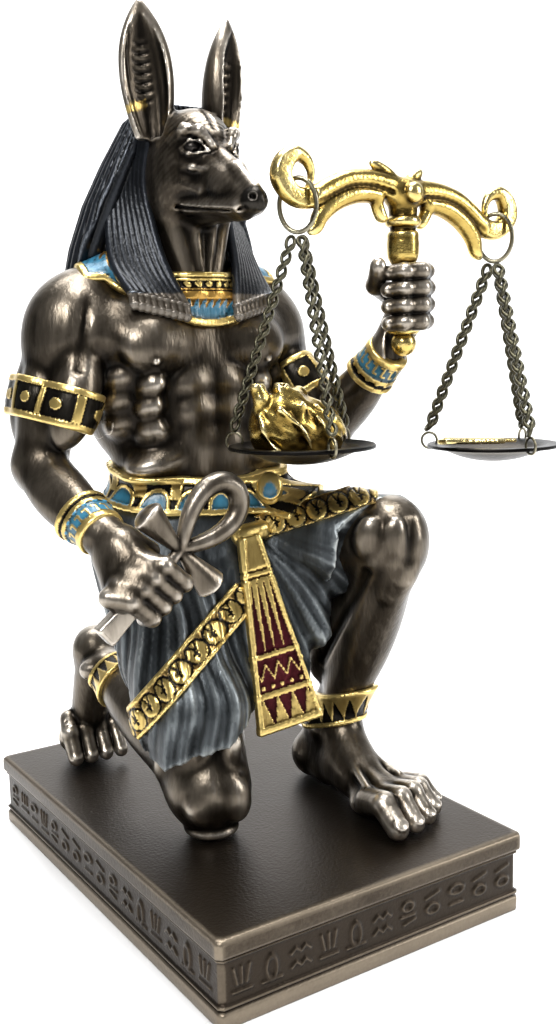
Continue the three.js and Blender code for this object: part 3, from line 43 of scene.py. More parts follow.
GROUND = 24.3
RIGHT, LEFT = -1, 1


# Vectors and shapes: each shape is (low corner, high corner, distance function)

def vec(a):
    return np.asarray(a, float)


def unit(a):
    a = vec(a)
    return a / np.linalg.norm(a)


def axes(along, side):
    w = unit(along)
    u = unit(vec(side) - w * np.dot(side, w))
    return w, u, np.cross(w, u)


def limb(a, ra, b, rb):
    a, b = vec(a), vec(b)
    d = b - a
    long2 = d @ d
    r = max(ra, rb)

    def f(x, y, z):
        px, py, pz = x - a[0], y - a[1], z - a[2]
        t = np.clip((px * d[0] + py * d[1] + pz * d[2]) / long2, 0, 1)
        far = np.sqrt((px - d[0] * t) ** 2 + (py - d[1] * t) ** 2 + (pz - d[2] * t) ** 2)
        return far - ra - (rb - ra) * t

    return np.minimum(a, b) - r, np.maximum(a, b) + r, f


def oval(c, r, along=(0, 0, 1), side=(1, 0, 0)):
    c, r = vec(c), vec(r)
    w, u, v = axes(along, side)
    reach = np.sqrt((w * r[0]) ** 2 + (u * r[1]) ** 2 + (v * r[2]) ** 2)

    def f(x, y, z):
        px, py, pz = x - c[0], y - c[1], z - c[2]
        a = (px * w[0] + py * w[1] + pz * w[2]) / r[0]
        b = (px * u[0] + py * u[1] + pz * u[2]) / r[1]
        e = (px * v[0] + py * v[1] + pz * v[2]) / r[2]
        k0 = np.sqrt(a * a + b * b + e * e)
        k1 = np.sqrt((a / r[0]) ** 2 + (b / r[1]) ** 2 + (e / r[2]) ** 2) + 1e-6
        return k0 * (k0 - 1) / k1

    return c - reach, c + reach, f


def muscle(a, b, wide, thick, side=(1, 0, 0)):
    d = vec(b) - vec(a)
    return oval((vec(a) + vec(b)) / 2, (np.linalg.norm(d) / 2, wide, thick), d, side)


def hoop(c, axis, big, r, squash=1.0):
    c, w = vec(c), unit(axis)
    reach = big * np.sqrt(1 - w * w) + r * max(1, squash)

    def f(x, y, z):
        px, py, pz = x - c[0], y - c[1], z - c[2]
        h = px * w[0] + py * w[1] + pz * w[2]
        q = np.sqrt(np.maximum(px * px + py * py + pz * pz - h * h, 0)) - big
        return np.sqrt(q * q + (h / squash) ** 2) - r

    return c - reach, c + reach, f


def bar(a, b, wa, wb, t, face, round_by=0.0):
    a, b = vec(a), vec(b)
    length = np.linalg.norm(b - a)
    w, v, u = axes(b - a, face)
    r = max(wa, wb, t)

    def f(x, y, z):
        px, py, pz = x - a[0], y - a[1], z - a[2]
        s = px * w[0] + py * w[1] + pz * w[2]
        k = np.clip(s / length, 0, 1)
        across = np.abs(px * u[0] + py * u[1] + pz * u[2]) - wa - (wb - wa) * k + round_by
        deep = np.abs(px * v[0] + py * v[1] + pz * v[2]) - t + round_by
        ends = np.maximum(-s, s - length) + round_by
        out = np.sqrt(np.maximum(across, 0) ** 2 + np.maximum(deep, 0) ** 2 + np.maximum(ends, 0) ** 2)
        return out + np.minimum(np.maximum(np.maximum(across, deep), ends), 0) - round_by

    return np.minimum(a, b) - r, np.maximum(a, b) + r, f


def soft_min(a, b, k):
    """The smaller of two distances, rounded over the width k where they meet."""
    if k <= 0:
        return np.minimum(a, b)
    h = np.maximum(k - np.abs(a - b), 0) / k
    return np.minimum(a, b) - h * h * (k / 4)


class Clay:
    """A grid of signed distance that shapes are joined to and carved from."""

    def __init__(self, lo, hi, step):
        self.lo, self.step = vec(lo), step
        self.n = np.ceil((vec(hi) - self.lo) / step).astype(int) + 1
        self.v = np.full(self.n, FAR, np.float32)
        self.line = [(self.lo[i] + step * np.arange(self.n[i])).astype(np.float32) for i in range(3)]

    def change(self, lo, hi, pad, f):
        a = np.clip(np.floor((vec(lo) - pad - self.lo) / self.step), 0, self.n).astype(int)
        b = np.clip(np.ceil((vec(hi) + pad - self.lo) / self.step) + 1, 0, self.n).astype(int)
        if (b > a).all():
            s = tuple(slice(p, q) for p, q in zip(a, b))
            x, y, z = (self.line[i][s[i]] for i in range(3))
            self.v[s] = f(self.v[s], x[:, None, None], y[None, :, None], z[None, None, :])

    def everywhere(self, f):
        self.change(self.lo, self.lo + self.step * self.n, 0, f)

    def join(self, shape, k=0.0):
        lo, hi, f = shape
        self.change(lo, hi, max(k, 2) + 3, lambda old, x, y, z: soft_min(old, f(x, y, z), k))

    def carve(self, shape, k=0.0):
        lo, hi, f = shape
        self.change(lo, hi, k + 1.5, lambda old, x, y, z: -soft_min(-old, f(x, y, z), k))

    def band(self, c, axis, half, reach, out, inside=0.5):
        """Leaves a hollow band that follows what is there, from inside its surface to out of it."""
        c, w = vec(c), unit(axis)

        def g(old, x, y, z):
            px, py, pz = x - c[0], y - c[1], z - c[2]
            h = np.abs(px * w[0] + py * w[1] + pz * w[2]) - half
            far = np.sqrt(px * px + py * py + pz * pz) - reach
            return np.maximum(np.maximum(np.maximum(old - out, h), far), -(old + inside))

        self.everywhere(g)

    def keep(self, f):
        self.everywhere(lambda old, x, y, z: np.maximum(old, f(x, y, z)))

    def surface(self):
        """Points and quads of the zero level, by surface nets."""
        v = self.v
        for axis in range(3):
            for end in (0, -1):
                face = [slice(None)] * 3
                face[axis] = end
                v[tuple(face)] = np.maximum(v[tuple(face)], 0.3)
        s = v < 0
        nx, ny, nz = v.shape
        count = np.zeros((nx - 1, ny - 1, nz - 1), np.uint8)
        for c in range(8):
            a, b, e = c & 1, (c >> 1) & 1, c >> 2
            count += s[a:nx - 1 + a, b:ny - 1 + b, e:nz - 1 + e]
        live = (count > 0) & (count < 8)
        cell = np.argwhere(live)
        ids = np.full(live.shape, -1, np.int32)
        ids[live] = np.arange(len(cell))
        place = np.zeros((len(cell), 3))
        hits = np.zeros(len(cell))
        eye = np.eye(3, dtype=int)
        for axis in range(3):
            f, g = (eye[i] for i in range(3) if i != axis)
            for corner in (0 * f, f, g, f + g):
                va = v[tuple((cell + corner).T)].astype(float)
                vb = v[tuple((cell + corner + eye[axis]).T)].astype(float)
                hit = (va < 0) != (vb < 0)
                t = va[hit] / (va[hit] - vb[hit])
                place[hit] += corner + t[:, None] * eye[axis]
                hits[hit] += 1
        points = (cell + place / hits[:, None]) * self.step + self.lo
        quads = []
        for axis in range(3):
            f, g = (i for i in range(3) if i != axis)
            a = [slice(1, -1)] * 3
            b = [slice(1, -1)] * 3
            a[axis], b[axis] = slice(0, -1), slice(1, None)
            first, second = s[tuple(a)], s[tuple(b)]
            at = np.argwhere(first != second)
            turned = second[tuple(at.T)] if len(at) else np.zeros(0, bool)
            at[:, f] += 1
            at[:, g] += 1
            around = []
            for df, dg in ((0, 0), (-1, 0), (-1, -1), (0, -1)):
                q = at.copy()
                q[:, f] += df
                q[:, g] += dg
                around.append(ids[tuple(q.T)])
            q = np.stack(around, axis=1)
            flip = turned if axis != 1 else ~turned
            q[flip] = q[flip][:, ::-1]
            quads.append(q)
        return points, np.concatenate(quads)


# The bare figure, as in part.mjs

MIDDLE = -5


def at(side, x, y, z):
    return (MIDDLE + side * x, y, z)


def plus(a, b):
    return tuple(vec(a) + vec(b))


PELVIS, SKULL = (-3, 13, 106), (-6, 7, 221)
ELBOW_R, WRIST_R = (-54, 19, 133), (-49, -12, 116)
ELBOW_L, WRIST_L = (42, 6, 137), (45, -22, 163)
HIP_R, KNEE_R, ANKLE_R, BALL_R = (-15, 15, 102), (-22, -20, 38), (-28, 35, 62), (-27, 58, 31)
HIP_L, KNEE_L, ANKLE_L, HEEL_L = (11, 15, 104), (32, -38, 110), (30, -14, 45), (28, -4, 31)
COLUMN = (45.5, -30)


def trunk(c):
    c.join(oval((MIDDLE, 16, 160), (26, 29, 17.5)))
    c.join(oval((-4, 14, 135), (26, 27.2, 17)), 8)
    c.join(oval((-3, 13, 113), (18, 30.5, 19.5)), 8)
    c.join(limb((-35, 22, 175), 10.5, (24, 22, 174), 10.5), 8)
    for s in (RIGHT, LEFT):
        c.join(limb(at(s, 5, 18, 195), 7, at(s, 30, 22, 184), 6.5), 6)
        c.join(oval(at(s, 23.5, 20, 154.5), (20, 8.5, 13)), 5)
        c.join(oval(at(s, 12, 11, 178), (6, 14, 9)), 5)
        c.join(limb(at(s, 17, 6.5, 168.5), 8.4, at(s, 32, 15, 171), 8.6), 5)
        c.join(oval(at(s, 14, 4.4, 167.6), (9.6, 14, 7.2), (0.1 * s, 0.15, 1), (1, -0.1 * s, 0)), 2.2)
        for x, y, z, tall in ((19.6, 1.8, 155.4, 3.1), (20.4, 2.6, 148.8, 3.2), (19.6, 3, 141.6, 3.8),
                              (27.2, 8, 157.6, 3), (27.4, 9, 151, 3), (26.4, 9.8, 144.2, 3)):
            c.join(oval(at(s, x, y, z), (tall, 4.4, 2.9), (0.6 * s, 0, 1), (1, 0.8 * s, 0)), 3.4)
        for x, z, tall, y in ((6, 156, 4.3, 0.2), (5.6, 147.6, 4.5, -0.3), (5.4, 136.4, 7.6, -0.6)):
            c.join(oval(at(s, x, y, z), (tall, 5, 2.7), (0.08 * s, 0, 1)), 3)
        c.join(oval(at(s, 17.5, 4.6, 132.4), (4.6, 9.6, 7.4), (0.25 * s, 0, 1)), 4)
        # shoulder blades and the long muscles by the spine
        c.join(oval(at(s, 15, 32.6, 166), (10, 8, 3.5), (0.3 * s, 0, 1)), 7)
        c.join(limb(at(s, 5.5, 30.4, 162), 4.6, at(s, 5, 30, 130), 4.6), 9)
        c.join(oval(at(s, 19.5, -2.2, 162.6), (0.9, 1, 0.9)), 0.7)
    c.carve(limb((MIDDLE - 0.6, -6, 158), 1.2, (-4.4, -6.6, 128), 1.1), 1.6)
    c.carve(limb((MIDDLE, -6.5, 176), 1.6, (MIDDLE, -6.5, 160), 2), 2.5)
    c.carve(limb((MIDDLE, 40, 172), 1.4, (-4, 38.4, 122), 1.4), 5)


def neck(c):
    c.join(limb((MIDDLE, 16, 183), 13, (-6, 13, 205), 11.5), 6)
    for s in (RIGHT, LEFT):
        c.join(limb(at(s, 3.4, 3.6, 184), 2, at(s, 8.4, 5.6, 204), 2.6), 3)
        c.join(limb(at(s, 0.8, 2.9, 186), 1, at(s, 3.2, 1.9, 203), 1.5), 2)


def face(s, x, y, z):
    return (SKULL[0] + s * x, y, z)


# The brow and the rim of the eyelids, from the middle of the head
BROW = ((9.4, -0.5, 225.6), (8.4, -5, 228.4), (5.6, -8.6, 227.6), (3, -11.4, 223.4))
LIDS = ((9.2, -4.2, 222.8), (8.2, -7.2, 225), (6, -9.6, 224.4), (4.4, -11.6, 221.6),
        (6.6, -9.4, 221.2), (8.4, -6.8, 221.3), (9.2, -4.2, 222.8))


def head(c):
    c.join(oval(SKULL, (15, 13, 15.2)), 4)
    c.join(limb((-6, 2, 226.5), 8.2, (-6, -2.5, 222.6), 7.8), 4)
    c.join(limb((-6, -5, 217), 7.6, (-6, -16.5, 211.4), 5.4), 3)
    c.join(limb((-6, -16.5, 211.4), 5.4, (-6, -26, 206.8), 4), 3)
    c.join(limb((-6, -9, 222.2), 1.8, (-6, -20, 215.8), 1.8), 2)
    c.join(limb((-6, -20, 215.8), 1.8, (-6, -28.6, 209.6), 1.6), 2)
    c.join(limb((-6, -21, 206.4), 4.2, (-6, -27.6, 205.8), 3.2), 1.5)
    c.join(oval((-6, -29.3, 206.2), (3.5, 3.5, 2.7), (0, 0.12, 1)), 0.9)
    c.join(limb((-6, 8, 211), 9, (-6, -23, 204), 2.4), 2.5)
    for s in (RIGHT, LEFT):
        c.join(oval(face(s, 7.6, 7, 213.5), (9, 5.6, 11), (0, 0.3, 1)), 4)
        # jowl, lips and the ridge of the cheek
        c.join(limb(face(s, 6.2, -3, 207.6), 2.6, face(s, 3.4, -25, 205), 1.9), 2)
        c.join(limb(face(s, 9.4, 3, 215), 1.6, face(s, 6.2, -10, 211), 1), 3)
        c.join(limb(face(s, 9.6, -1, 219.4), 0.8, face(s, 7.8, -7.6, 217.4), 0.7), 1.2)
        c.join(limb(face(s, 7.8, -7.6, 217.4), 0.7, face(s, 5.4, -12.4, 216.2), 0.5), 1.2)
        # brow, in three turns, over a deep socket
        brow = [face(s, *q) for q in BROW]
        for i in range(3):
            c.join(limb(brow[i], (1, 1.3, 1.4)[i], brow[i + 1], (1.3, 1.4, 0.9)[i]), 2)
        c.carve(oval(face(s, 7.6, -8.4, 223), (1.7, 3.3, 1.9), (0, 0.2, 1), (1, 0.9 * s, 0)), 1.2)
        c.join(oval(face(s, 6.3, -6.4, 223.1), (1.7, 2.5, 2)), 0.2)
        lid = [face(s, *q) for q in LIDS]
        for i in range(6):
            c.join(limb(lid[i], 0.3, lid[i + 1], 0.3), 0.9)
        # wrinkles of the brow
        for i in range(3):
            c.carve(limb(face(s, 8.6 - 0.9 * i, -4.6 - 1.6 * i, 227.6 + 0.7 * i), 0.3,
                         face(s, 6.8 - 1.5 * i, -7.6 - 0.5 * i, 229.2 - 0.6 * i), 0.3), 0.7)
        c.carve(limb(face(s, 3.2, -28.6, 203.9), 0.4, face(s, 6.4, -14, 204.7), 0.5), 0.6)
        c.carve(limb(face(s, 6.4, -14, 204.7), 0.5, face(s, 8.8, 1, 207.4), 0.5), 0.6)
        c.carve(oval(face(s, 2.2, -31.2, 207), (0.9, 0.8, 1.4), (0, 0, 1)), 0.5)
    c.carve(limb((-6, -1, 236.5), 0.7, (-6, -8, 229), 0.5), 1.2)
    c.carve(limb((-6, -32.6, 206.4), 0.4, (-6, -31.6, 203.2), 0.4), 0.5)


def ear(c, foot, tip, facing, wide, deep, side):
    foot, tip = vec(foot), vec(tip)
    length = np.linalg.norm(tip - foot)
    w, v, u = axes(tip - foot, facing)
    lo = np.minimum(foot, tip) - (14, 14, 8)
    hi = np.maximum(foot, tip) + (14, 14, 8)

    def leaf(grow, shift, inner=False):
        def f(x, y, z):
            px, py, pz = x - foot[0], y - foot[1], z - foot[2]
            t = np.minimum((px * w[0] + py * w[1] + pz * w[2]) / length, 1.1)
            full = 0.75 + 1.05 * t - 1.2 * t * t
            shape = full * np.maximum(1 - np.maximum(t, 0) ** 5, 0.0004) ** 0.8
            a = np.maximum(wide * shape + grow, 0.1)
            b = np.maximum(deep * shape * (1.1 - 0.45 * t) + grow, 0.1)
            across = px * u[0] + py * u[1] + pz * u[2]
            qa = across / a
            qb = (px * v[0] + py * v[1] + pz * v[2] - shift) / b
            d = (np.sqrt(qa * qa + qb * qb) - 1) * np.minimum(a, b)
            if inner:
                # a deep channel with ribs beside a shallow streaked flap
                mid = qa * side - 0.16
                d = d + 1.1 * np.clip(-mid - 0.25, 0, 1) - 0.5 * np.clip(1 - np.abs(mid) * 2, 0, 1)
                rib = np.clip(1.2 - np.abs(mid) * 2.6, 0, 1)
                rib = rib * np.clip(t * 9 - 1.2, 0, 1) * np.clip(5.6 - t * 8, 0, 1)
                d = d + 0.34 * rib * np.cos(t * 84 - mid * mid * 9)
                d = d + 0.1 * np.sin(qa * 22 + t * 5) * np.clip(np.abs(mid) * 3 - 1, 0, 1)
            d = np.where((a < 0.15) | (b < 0.15), 3, d)
            return np.maximum(d, (-0.12 - t) * length)
        return lo, hi, f

    c.join(leaf(0, 0), 2)
    c.carve(leaf(-1.0, 0.52 * deep, True), 0.5)


EARS = (((-18, 8, 231.5), (-20, 9.5, 266.9), (-0.3, -1, 0.1), 8.3, 4.6, -1),
        ((5.6, 8, 230), (9.4, 9, 265.2), (0.5, -1, 0.1), 7.8, 6.6, 1))


SHOULDER_GROOVES = (((-48.5, 9.4, 183), (-53, 7.6, 161), 0.7), ((-40, 8.4, 184), (-46, 5, 161), 0.7),
                    ((-55.5, 16.8, 177), (-57.5, 14.8, 160), 0.7),
                    ((-51.6, 11.2, 178), (-55.4, 10.2, 162), 0.3), ((-44.5, 7.6, 180), (-49.4, 6, 162), 0.3))


def right_arm(c):
    c.join(oval((-41.5, 22, 172), (17, 13.5, 14), (0.25, 0, 1)), 6)
    c.join(limb((-43, 22, 165), 10.5, ELBOW_R, 7.6), 5)
    c.join(muscle((-40, 12, 168), (-51, 8, 138), 7.4, 7, (1, -1, 0)), 3)
    c.join(muscle((-46, 30, 168), (-55, 26, 137), 7.6, 7.2, (1, 1, 0)), 3)
    c.join(muscle((-53, 20, 162), (-54, 16, 132), 6, 6.5), 3)
    c.join(limb(ELBOW_R, 7, WRIST_R, 5.6), 4)
    c.join(muscle((-52.8, 18, 134.8), (-49, -9, 116.5), 5.8, 5.8, (0, 1, 1)), 3)
    c.join(muscle((-57.5, 19, 131), (-52, -6, 116), 5.5, 5.8, (0, 1, 1)), 3)
    c.join(oval((-55, 23.5, 129), (4.5, 4.2, 4.2)), 3)
    # the three heads of the shoulder muscle and finer strands over them
    for start, end, r in SHOULDER_GROOVES:
        c.carve(limb(start, r, end, r), 2.6)


def left_arm(c):
    c.join(oval((29.5, 23, 171), (16.5, 12.5, 13.5), (-0.25, 0, 1)), 6)
    c.join(limb((31, 22, 164), 10, ELBOW_L, 7), 5)
    c.join(muscle((28, 14, 166), (40, 2, 141), 7, 7, (1, 1, 0)), 3)
    c.join(muscle((33, 29, 164), (44, 13, 138), 7.5, 7), 3)
    c.join(limb(ELBOW_L, 7.2, WRIST_L, 5.4), 4)
    c.join(muscle((42, 10, 136), (46, -17, 157), 7, 7), 3)
    c.join(muscle((40, 0, 143), (43, -16, 159), 6, 5.5), 3)
    c.join(oval((42, 10.5, 133.5), (4.5, 4.5, 4.5)), 3)


def left_hand(c):
    gx, gy = COLUMN
    c.join(limb(WRIST_L, 5.4, (49, -25, 173), 6), 4)
    c.join(oval((51, -27, 180), (9, 4.6, 7)), 3)
    for i in range(4):
        z = 188.2 - i * 4.95
        reach = 7.2 - abs(i - 1.3) * 0.3
        path = []
        for j, deg in enumerate((-25, 25, 75, 125, 170)):
            a = math.radians(deg)
            path.append((gx + math.cos(a) * reach, gy - math.sin(a) * (reach - 0.2), z - j * 0.25))
        for j in range(4):
            c.join(limb(path[j], 2.75, path[j + 1], 2.5 - (0.3 if j == 3 else 0)), 0.4)
            if j in (1, 3):
                c.join(oval(path[j], (2.5, 3.1, 3.1)), 0.5)
        nail = vec(path[4]) + (-1.2, -1.6, 0)
        c.join(oval(nail, (1.3, 1.3, 0.9)), 0.5)
    c.join(limb((46, -22, 182), 3.4, (38.6, -25.5, 184), 3), 2)
    c.join(limb((38.6, -25.5, 184), 3, (35.6, -30, 187.6), 2.5), 1)
    c.join(oval((35.2, -30.8, 189), (2.9, 2.4, 2.6)), 0.5)


# The looped cross lies in one plane: u runs up its shaft, v along its arms
ANKH_MIDDLE = vec((-31.8, -26, 111))
ANKH_UP, ANKH_SIDE, ANKH_FACE = unit((0.755, 0, 0.656)), vec((0.656, 0, -0.755)), vec((0, -1, 0))


def cross_point(u, v, out=0.0):
    return ANKH_MIDDLE + ANKH_UP * u + ANKH_SIDE * v + ANKH_FACE * out


def ankh(c):
    c.join(limb(cross_point(0, 0), 1.5, cross_point(-9, 0), 2.1))
    c.join(bar(cross_point(-8, 0), cross_point(-32, 0), 1.9, 3.4, 2.2, ANKH_FACE, 0.8), 0.6)
    for s in (RIGHT, LEFT):
        def arm(x, y, z, s=s):
            p = [x - ANKH_MIDDLE[0], y - ANKH_MIDDLE[1], z - ANKH_MIDDLE[2]]
            u = p[0] * ANKH_UP[0] + p[2] * ANKH_UP[2] + 0 * y
            v = (p[0] * ANKH_SIDE[0] + p[2] * ANKH_SIDE[2]) * s + 0 * y
            half = 1.2 + 0.2 * np.clip(v, 0, 18)
            # a ridge runs down the middle of each flaring arm
            roof = np.abs(p[1]) * 0.9 + np.abs(u) * 0.62 - half * 1.08
            d = np.maximum(roof * 0.8, np.sqrt((p[1] * 1.2) ** 2 + (u * 0.86) ** 2 + 0.01) - half)
            return np.maximum(d, np.maximum(-v - 0.5, v - 16 + 0.07 * u * u + 0.05 * p[1] * p[1]))
        tip = cross_point(0, 16 * s)
        c.join((np.minimum(ANKH_MIDDLE, tip) - 8, np.maximum(ANKH_MIDDLE, tip) + 8, arm), 0.4)
    n = 40

    def drop(i):
        a = i / n * 2 * math.pi
        wide = 8.4 * math.sin(a) * max(math.sin(a / 2), 0) ** 0.9
        return cross_point(12.6 - 11.6 * math.cos(a), wide)

    def loop(x, y, z):
        best = None
        for i in range(n):
            r0, r1 = (1.6 + 1.5 * math.sin(j / n * math.pi) for j in (i, i + 1))
            d = limb(drop(i), r0, drop(i + 1), r1)[2](x, y, z)
            best = d if best is None else np.minimum(best, d)
        return best
    where = np.array([drop(i) for i in range(n)])
    c.join((where.min(axis=0) - 4, where.max(axis=0) + 4, loop), 0.3)


def right_hand(c):
    c.join(limb(WRIST_R, 5.8, (-46.5, -18.5, 112.5), 6), 3)
    c.join(limb((-46, -19, 112.5), 5.6, cross_point(-11, -4, 1.5), 5.2), 3)
    c.join(limb((-47, -18, 110.5), 5.4, cross_point(-17, -4, 1), 5), 3)
    c.join(limb((-48, -17, 108.5), 5, cross_point(-21, -3.5, 0), 4.4), 3)
    for i in range(4):
        u = -6.5 - i * 4.3
        knuckle = cross_point(u - 1, -3, 5.2 - i * 0.2)
        middle = cross_point(u, 5.2, 4.6 - i * 0.3)
        tip = cross_point(u - 0.6, 6.8, -2.2)
        c.join(limb(cross_point(u - 4, -7, 1), 2.9, knuckle, 2.9), 1.5)
        c.join(limb(knuckle, 2.8, middle, 2.6), 0.6)
        c.join(limb(middle, 2.6, tip, 2.1), 0.6)
    c.join(limb((-44, -18, 115), 3, cross_point(-5.5, -5.5, -2.5), 2.7), 1.5)


def toe(c, root, knuckle, tip, r):
    """One toe: two joints, a rounded end and a broad nail."""
    root, knuckle, tip = vec(root), vec(knuckle), vec(tip)
    c.join(limb(root, r, knuckle, r * 1.02), 1.4)
    c.join(limb(knuckle, r * 0.98, tip, r * 0.86), 0.8)
    way = unit((tip - knuckle) * (1, 1, 0))
    nail = tip + way * r * 0.55 + (0, 0, r * 0.55)
    size = (r * 0.58, r * 0.62, r * 0.2)
    c.join(oval(nail - way * 0.3, size, way + (0, 0, -0.8), (way[1], -way[0], 0)), 0.25)
    back = unit(root - knuckle)
    for k in (-0.35, 0.25):
        over = knuckle + back * r * k + (0, 0, r * 1.05)
        side = vec((way[1], -way[0], 0)) * r * 0.7
        c.carve(limb(over - side, 0.25, over + side, 0.25), 0.5)


TOES_L = (((19.5, -44, 31), (18.4, -52.5, 33), (18, -59.6, 28.2), 3.9),
          ((25, -44, 31.5), (25, -52.5, 33.6), (25.2, -59, 27.8), 3.3),
          ((30.5, -42.5, 31.5), (31.2, -50.5, 33.2), (31.8, -56.6, 27.6), 3.2),
          ((35.5, -40, 30.8), (36.6, -47, 32), (37.6, -52.6, 27.4), 3.1),
          ((39.6, -37, 30), (41, -43, 30.8), (42, -48, 27.2), 2.9))


def left_leg(c):
    k, a = KNEE_L, ANKLE_L
    c.join(limb(HIP_L, 18, k, 11.5), 6)
    c.join(oval(plus(k, (0.6, -0.2, -2)), (12.6, 11.4, 11.6)), 4)
    c.join(limb(plus(k, (0, -1, -6)), 9.5, a, 6.2), 5)
    c.join(muscle(plus(k, (-1, 10, -4)), plus(a, (0, 8, 12)), 9.5, 10.5), 5)
    c.join(muscle(plus(k, (3, -1, -8)), plus(a, (3, -4, 12)), 7, 8.5), 4)
    c.join(limb(plus(k, (-1, -8, -12)), 3.4, plus(a, (0, -4, 14)), 3), 5)
    # kneecap, the muscles ending at it and the tendon below
    c.join(oval((27.6, -46.9, 110.6), (6.2, 3.7, 2.7), (0, -0.15, 1), (1, -0.5, 0)), 1.6)
    c.join(limb((27.6, -46, 103), 2.2, (28.4, -42.6, 93), 1.8), 2.5)
    c.join(oval((21.6, -42, 111), (6, 3.8, 2.8), (0.1, -0.2, 1), (1, -1.2, 0)), 1.8)
    c.join(limb((35.2, -45.6, 115), 2.6, (33.6, -46.8, 101.6), 2.4), 1.8)
    c.carve(limb((31.6, -50.6, 114), 0.3, (30.6, -51.4, 104.5), 0.3), 4)
    c.carve(limb(plus(k, (-10, -3, -10)), 0.8, plus(a, (-7, -2, 22)), 0.6), 2.5)
    c.join(oval(HEEL_L, (7, 6.6, 8)), 3)
    c.join(limb(plus(a, (0, 3, 6)), 5, plus(HEEL_L, (0, 0, 2)), 6), 4)
    c.join(limb(plus(a, (0, 2, -4)), 7, plus(HEEL_L, (0, -10, 0)), 7), 4)
    c.join(limb(a, 7, (28, -28, 34), 7), 5)
    c.join(limb((28, -22, 33), 7.5, (27, -40, 29), 6.5), 4)
    c.join(oval((29, -41, 28.5), (5, 12.5, 9)), 3)
    for s in (RIGHT, LEFT):
        c.join(oval(plus(a, (6 * s, 1, -1)), (3, 3, 3)), 2.5)
    for i in range(4):
        c.join(limb((28 + (i - 1.5) * 2, -26, 38.5), 1, (28 + (i - 1.5) * 5, -42 + i, 34), 1.2), 1.6)
    for root, knuckle, tip, r in TOES_L:
        toe(c, root, knuckle, tip, r)


def right_leg(c):
    k, a = KNEE_R, ANKLE_R
    c.join(limb(HIP_R, 19, k, 12.5), 6)
    c.join(oval(plus(k, (0, -3, -1)), (10, 9.5, 8.5), (0, -0.5, 1)), 4)
    c.join(limb(k, 11, a, 6.2), 4)
    c.join(muscle(plus(k, (-1, 8, 5)), plus(a, (0, -6, 0)), 10, 9.5), 5)
    c.join(limb(k, 9, (-22.5, -22.5, 27), 6.8), 3)
    # the kneecap and the ropes of muscle above it
    c.join(oval((-18.8, -27, 48), (9, 3.6, 3.7), (0, -0.5, 1)), 2.5)
    c.join(oval((-27.6, -23.2, 49), (9, 3.8, 3.6), (0, -0.5, 1)), 2.5)
    c.join(oval((-33, -16, 48), (8, 3.4, 3.4), (0.1, -0.5, 1)), 2.5)
    c.join(oval((-18.6, -31, 36.5), (6.4, 4.6, 3.4), (0, 0.1, 1)), 1.8)
    c.join(oval((-28.6, -27.6, 35.5), (4.6, 4.8, 3.2), (0, 0.2, 1)), 2)
    c.carve(limb((-23.4, -30, 54), 0.3, (-24, -35.4, 38), 0.3), 4)
    c.join(hoop((-22.5, -22.5, 26.6), (0, 0, 1), 6.6, 1.6), 0.6)
    c.join(oval((-27.5, 45.5, 67), (7, 6.4, 7)), 4)
    c.join(limb((-27.5, 45, 64), 6.8, BALL_R, 6), 5)
    c.join(oval(plus(BALL_R, (0, 0, 1)), (7, 10, 6.5)), 4)
    for s in (RIGHT, LEFT):
        c.join(oval(plus(a, (6 * s, 1, 0)), (3.2, 3.2, 3.2)), 2.5)
    for i in range(4):
        x = -35.6 + i * 5.4
        toe(c, (x + 0.8 * (1.5 - i), 55, 40), (x, 51.4, 36.4), (x, 47.2 - 0.5 * i, 28.2), 3.1 - 0.1 * i)


def skin(c):
    for part in (trunk, neck, head, right_arm, left_arm, right_leg, left_leg):
        part(c)
    return c


# Hair, cloth and jewellery

def tube(c, points, radii, k):
    """A smooth tube: its parts meet without swelling, and only the whole is blended in."""
    points = [vec(p) for p in points]
    r = max(radii)

    def f(x, y, z):
        best = None
        for i in range(len(points) - 1):
            d = limb(points[i], radii[i], points[i + 1], radii[i + 1])[2](x, y, z)
            best = d if best is None else np.minimum(best, d)
        return best

    c.join((np.min(points, axis=0) - r, np.max(points, axis=0) + r, f), k)


def curve(points, radii, parts=6):
    """Points and radii of a smooth line through the given ones."""
    data = np.column_stack([np.array([vec(p) for p in points]), radii])
    out = [data[0]]
    n = len(data)
    for j in range(n - 1):
        p0, p1, p2, p3 = (data[min(max(j + o, 0), n - 1)] for o in (-1, 0, 1, 2))
        for i in range(1, parts + 1):
            t = i / parts
            out.append(0.5 * (2 * p1 + (p2 - p0) * t + (2 * p0 - 5 * p1 + 4 * p2 - p3) * t * t +
                              (3 * p1 - p0 - 3 * p2 + p3) * t ** 3))
    out = np.array(out)
    return out[:, :3], out[:, 3]


MANE = ((240, -6, 15, 8, 8), (234, -6, 18, 15, 15), (222, -6, 22, 20.5, 21), (210, -6, 24, 26, 25),
        (197, -6, 25, 30.5, 27), (186, -6, 26, 33, 25), (172, -6, 27, 31, 24))
STRANDS = 46


def mane(c):
    rows = np.array(MANE[::-1], float)

    def f(x, y, z):
        mx, my, a, b = (np.interp(z, rows[:, 0], rows[:, i]).astype(np.float32) for i in (1, 2, 3, 4))
        px, py = x - mx, y - my
        turn = np.arctan2(px, py)
        wave = np.sqrt(np.abs(np.sin(turn * STRANDS / 2 + 0.05 * np.sin(z * 0.13))))
        out = (np.sqrt((px / a) ** 2 + (py / b) ** 2) - 1) * np.minimum(a, b) + 1.1 - 1.35 * wave
        front = 13.6 + np.clip((224 - z) * 0.3, 0, 10) - y - 0.9 * np.sqrt(np.abs(np.sin(px / a * 21)))
        hem = 171 + 0.5 * np.abs(px) - z
        return np.maximum(np.maximum(out * 0.8, front * 0.9), np.maximum(hem * 0.8, z - 239))

    c.join(((-42, -2, 166), (32, 54, 241), f))


LAPPET = 9


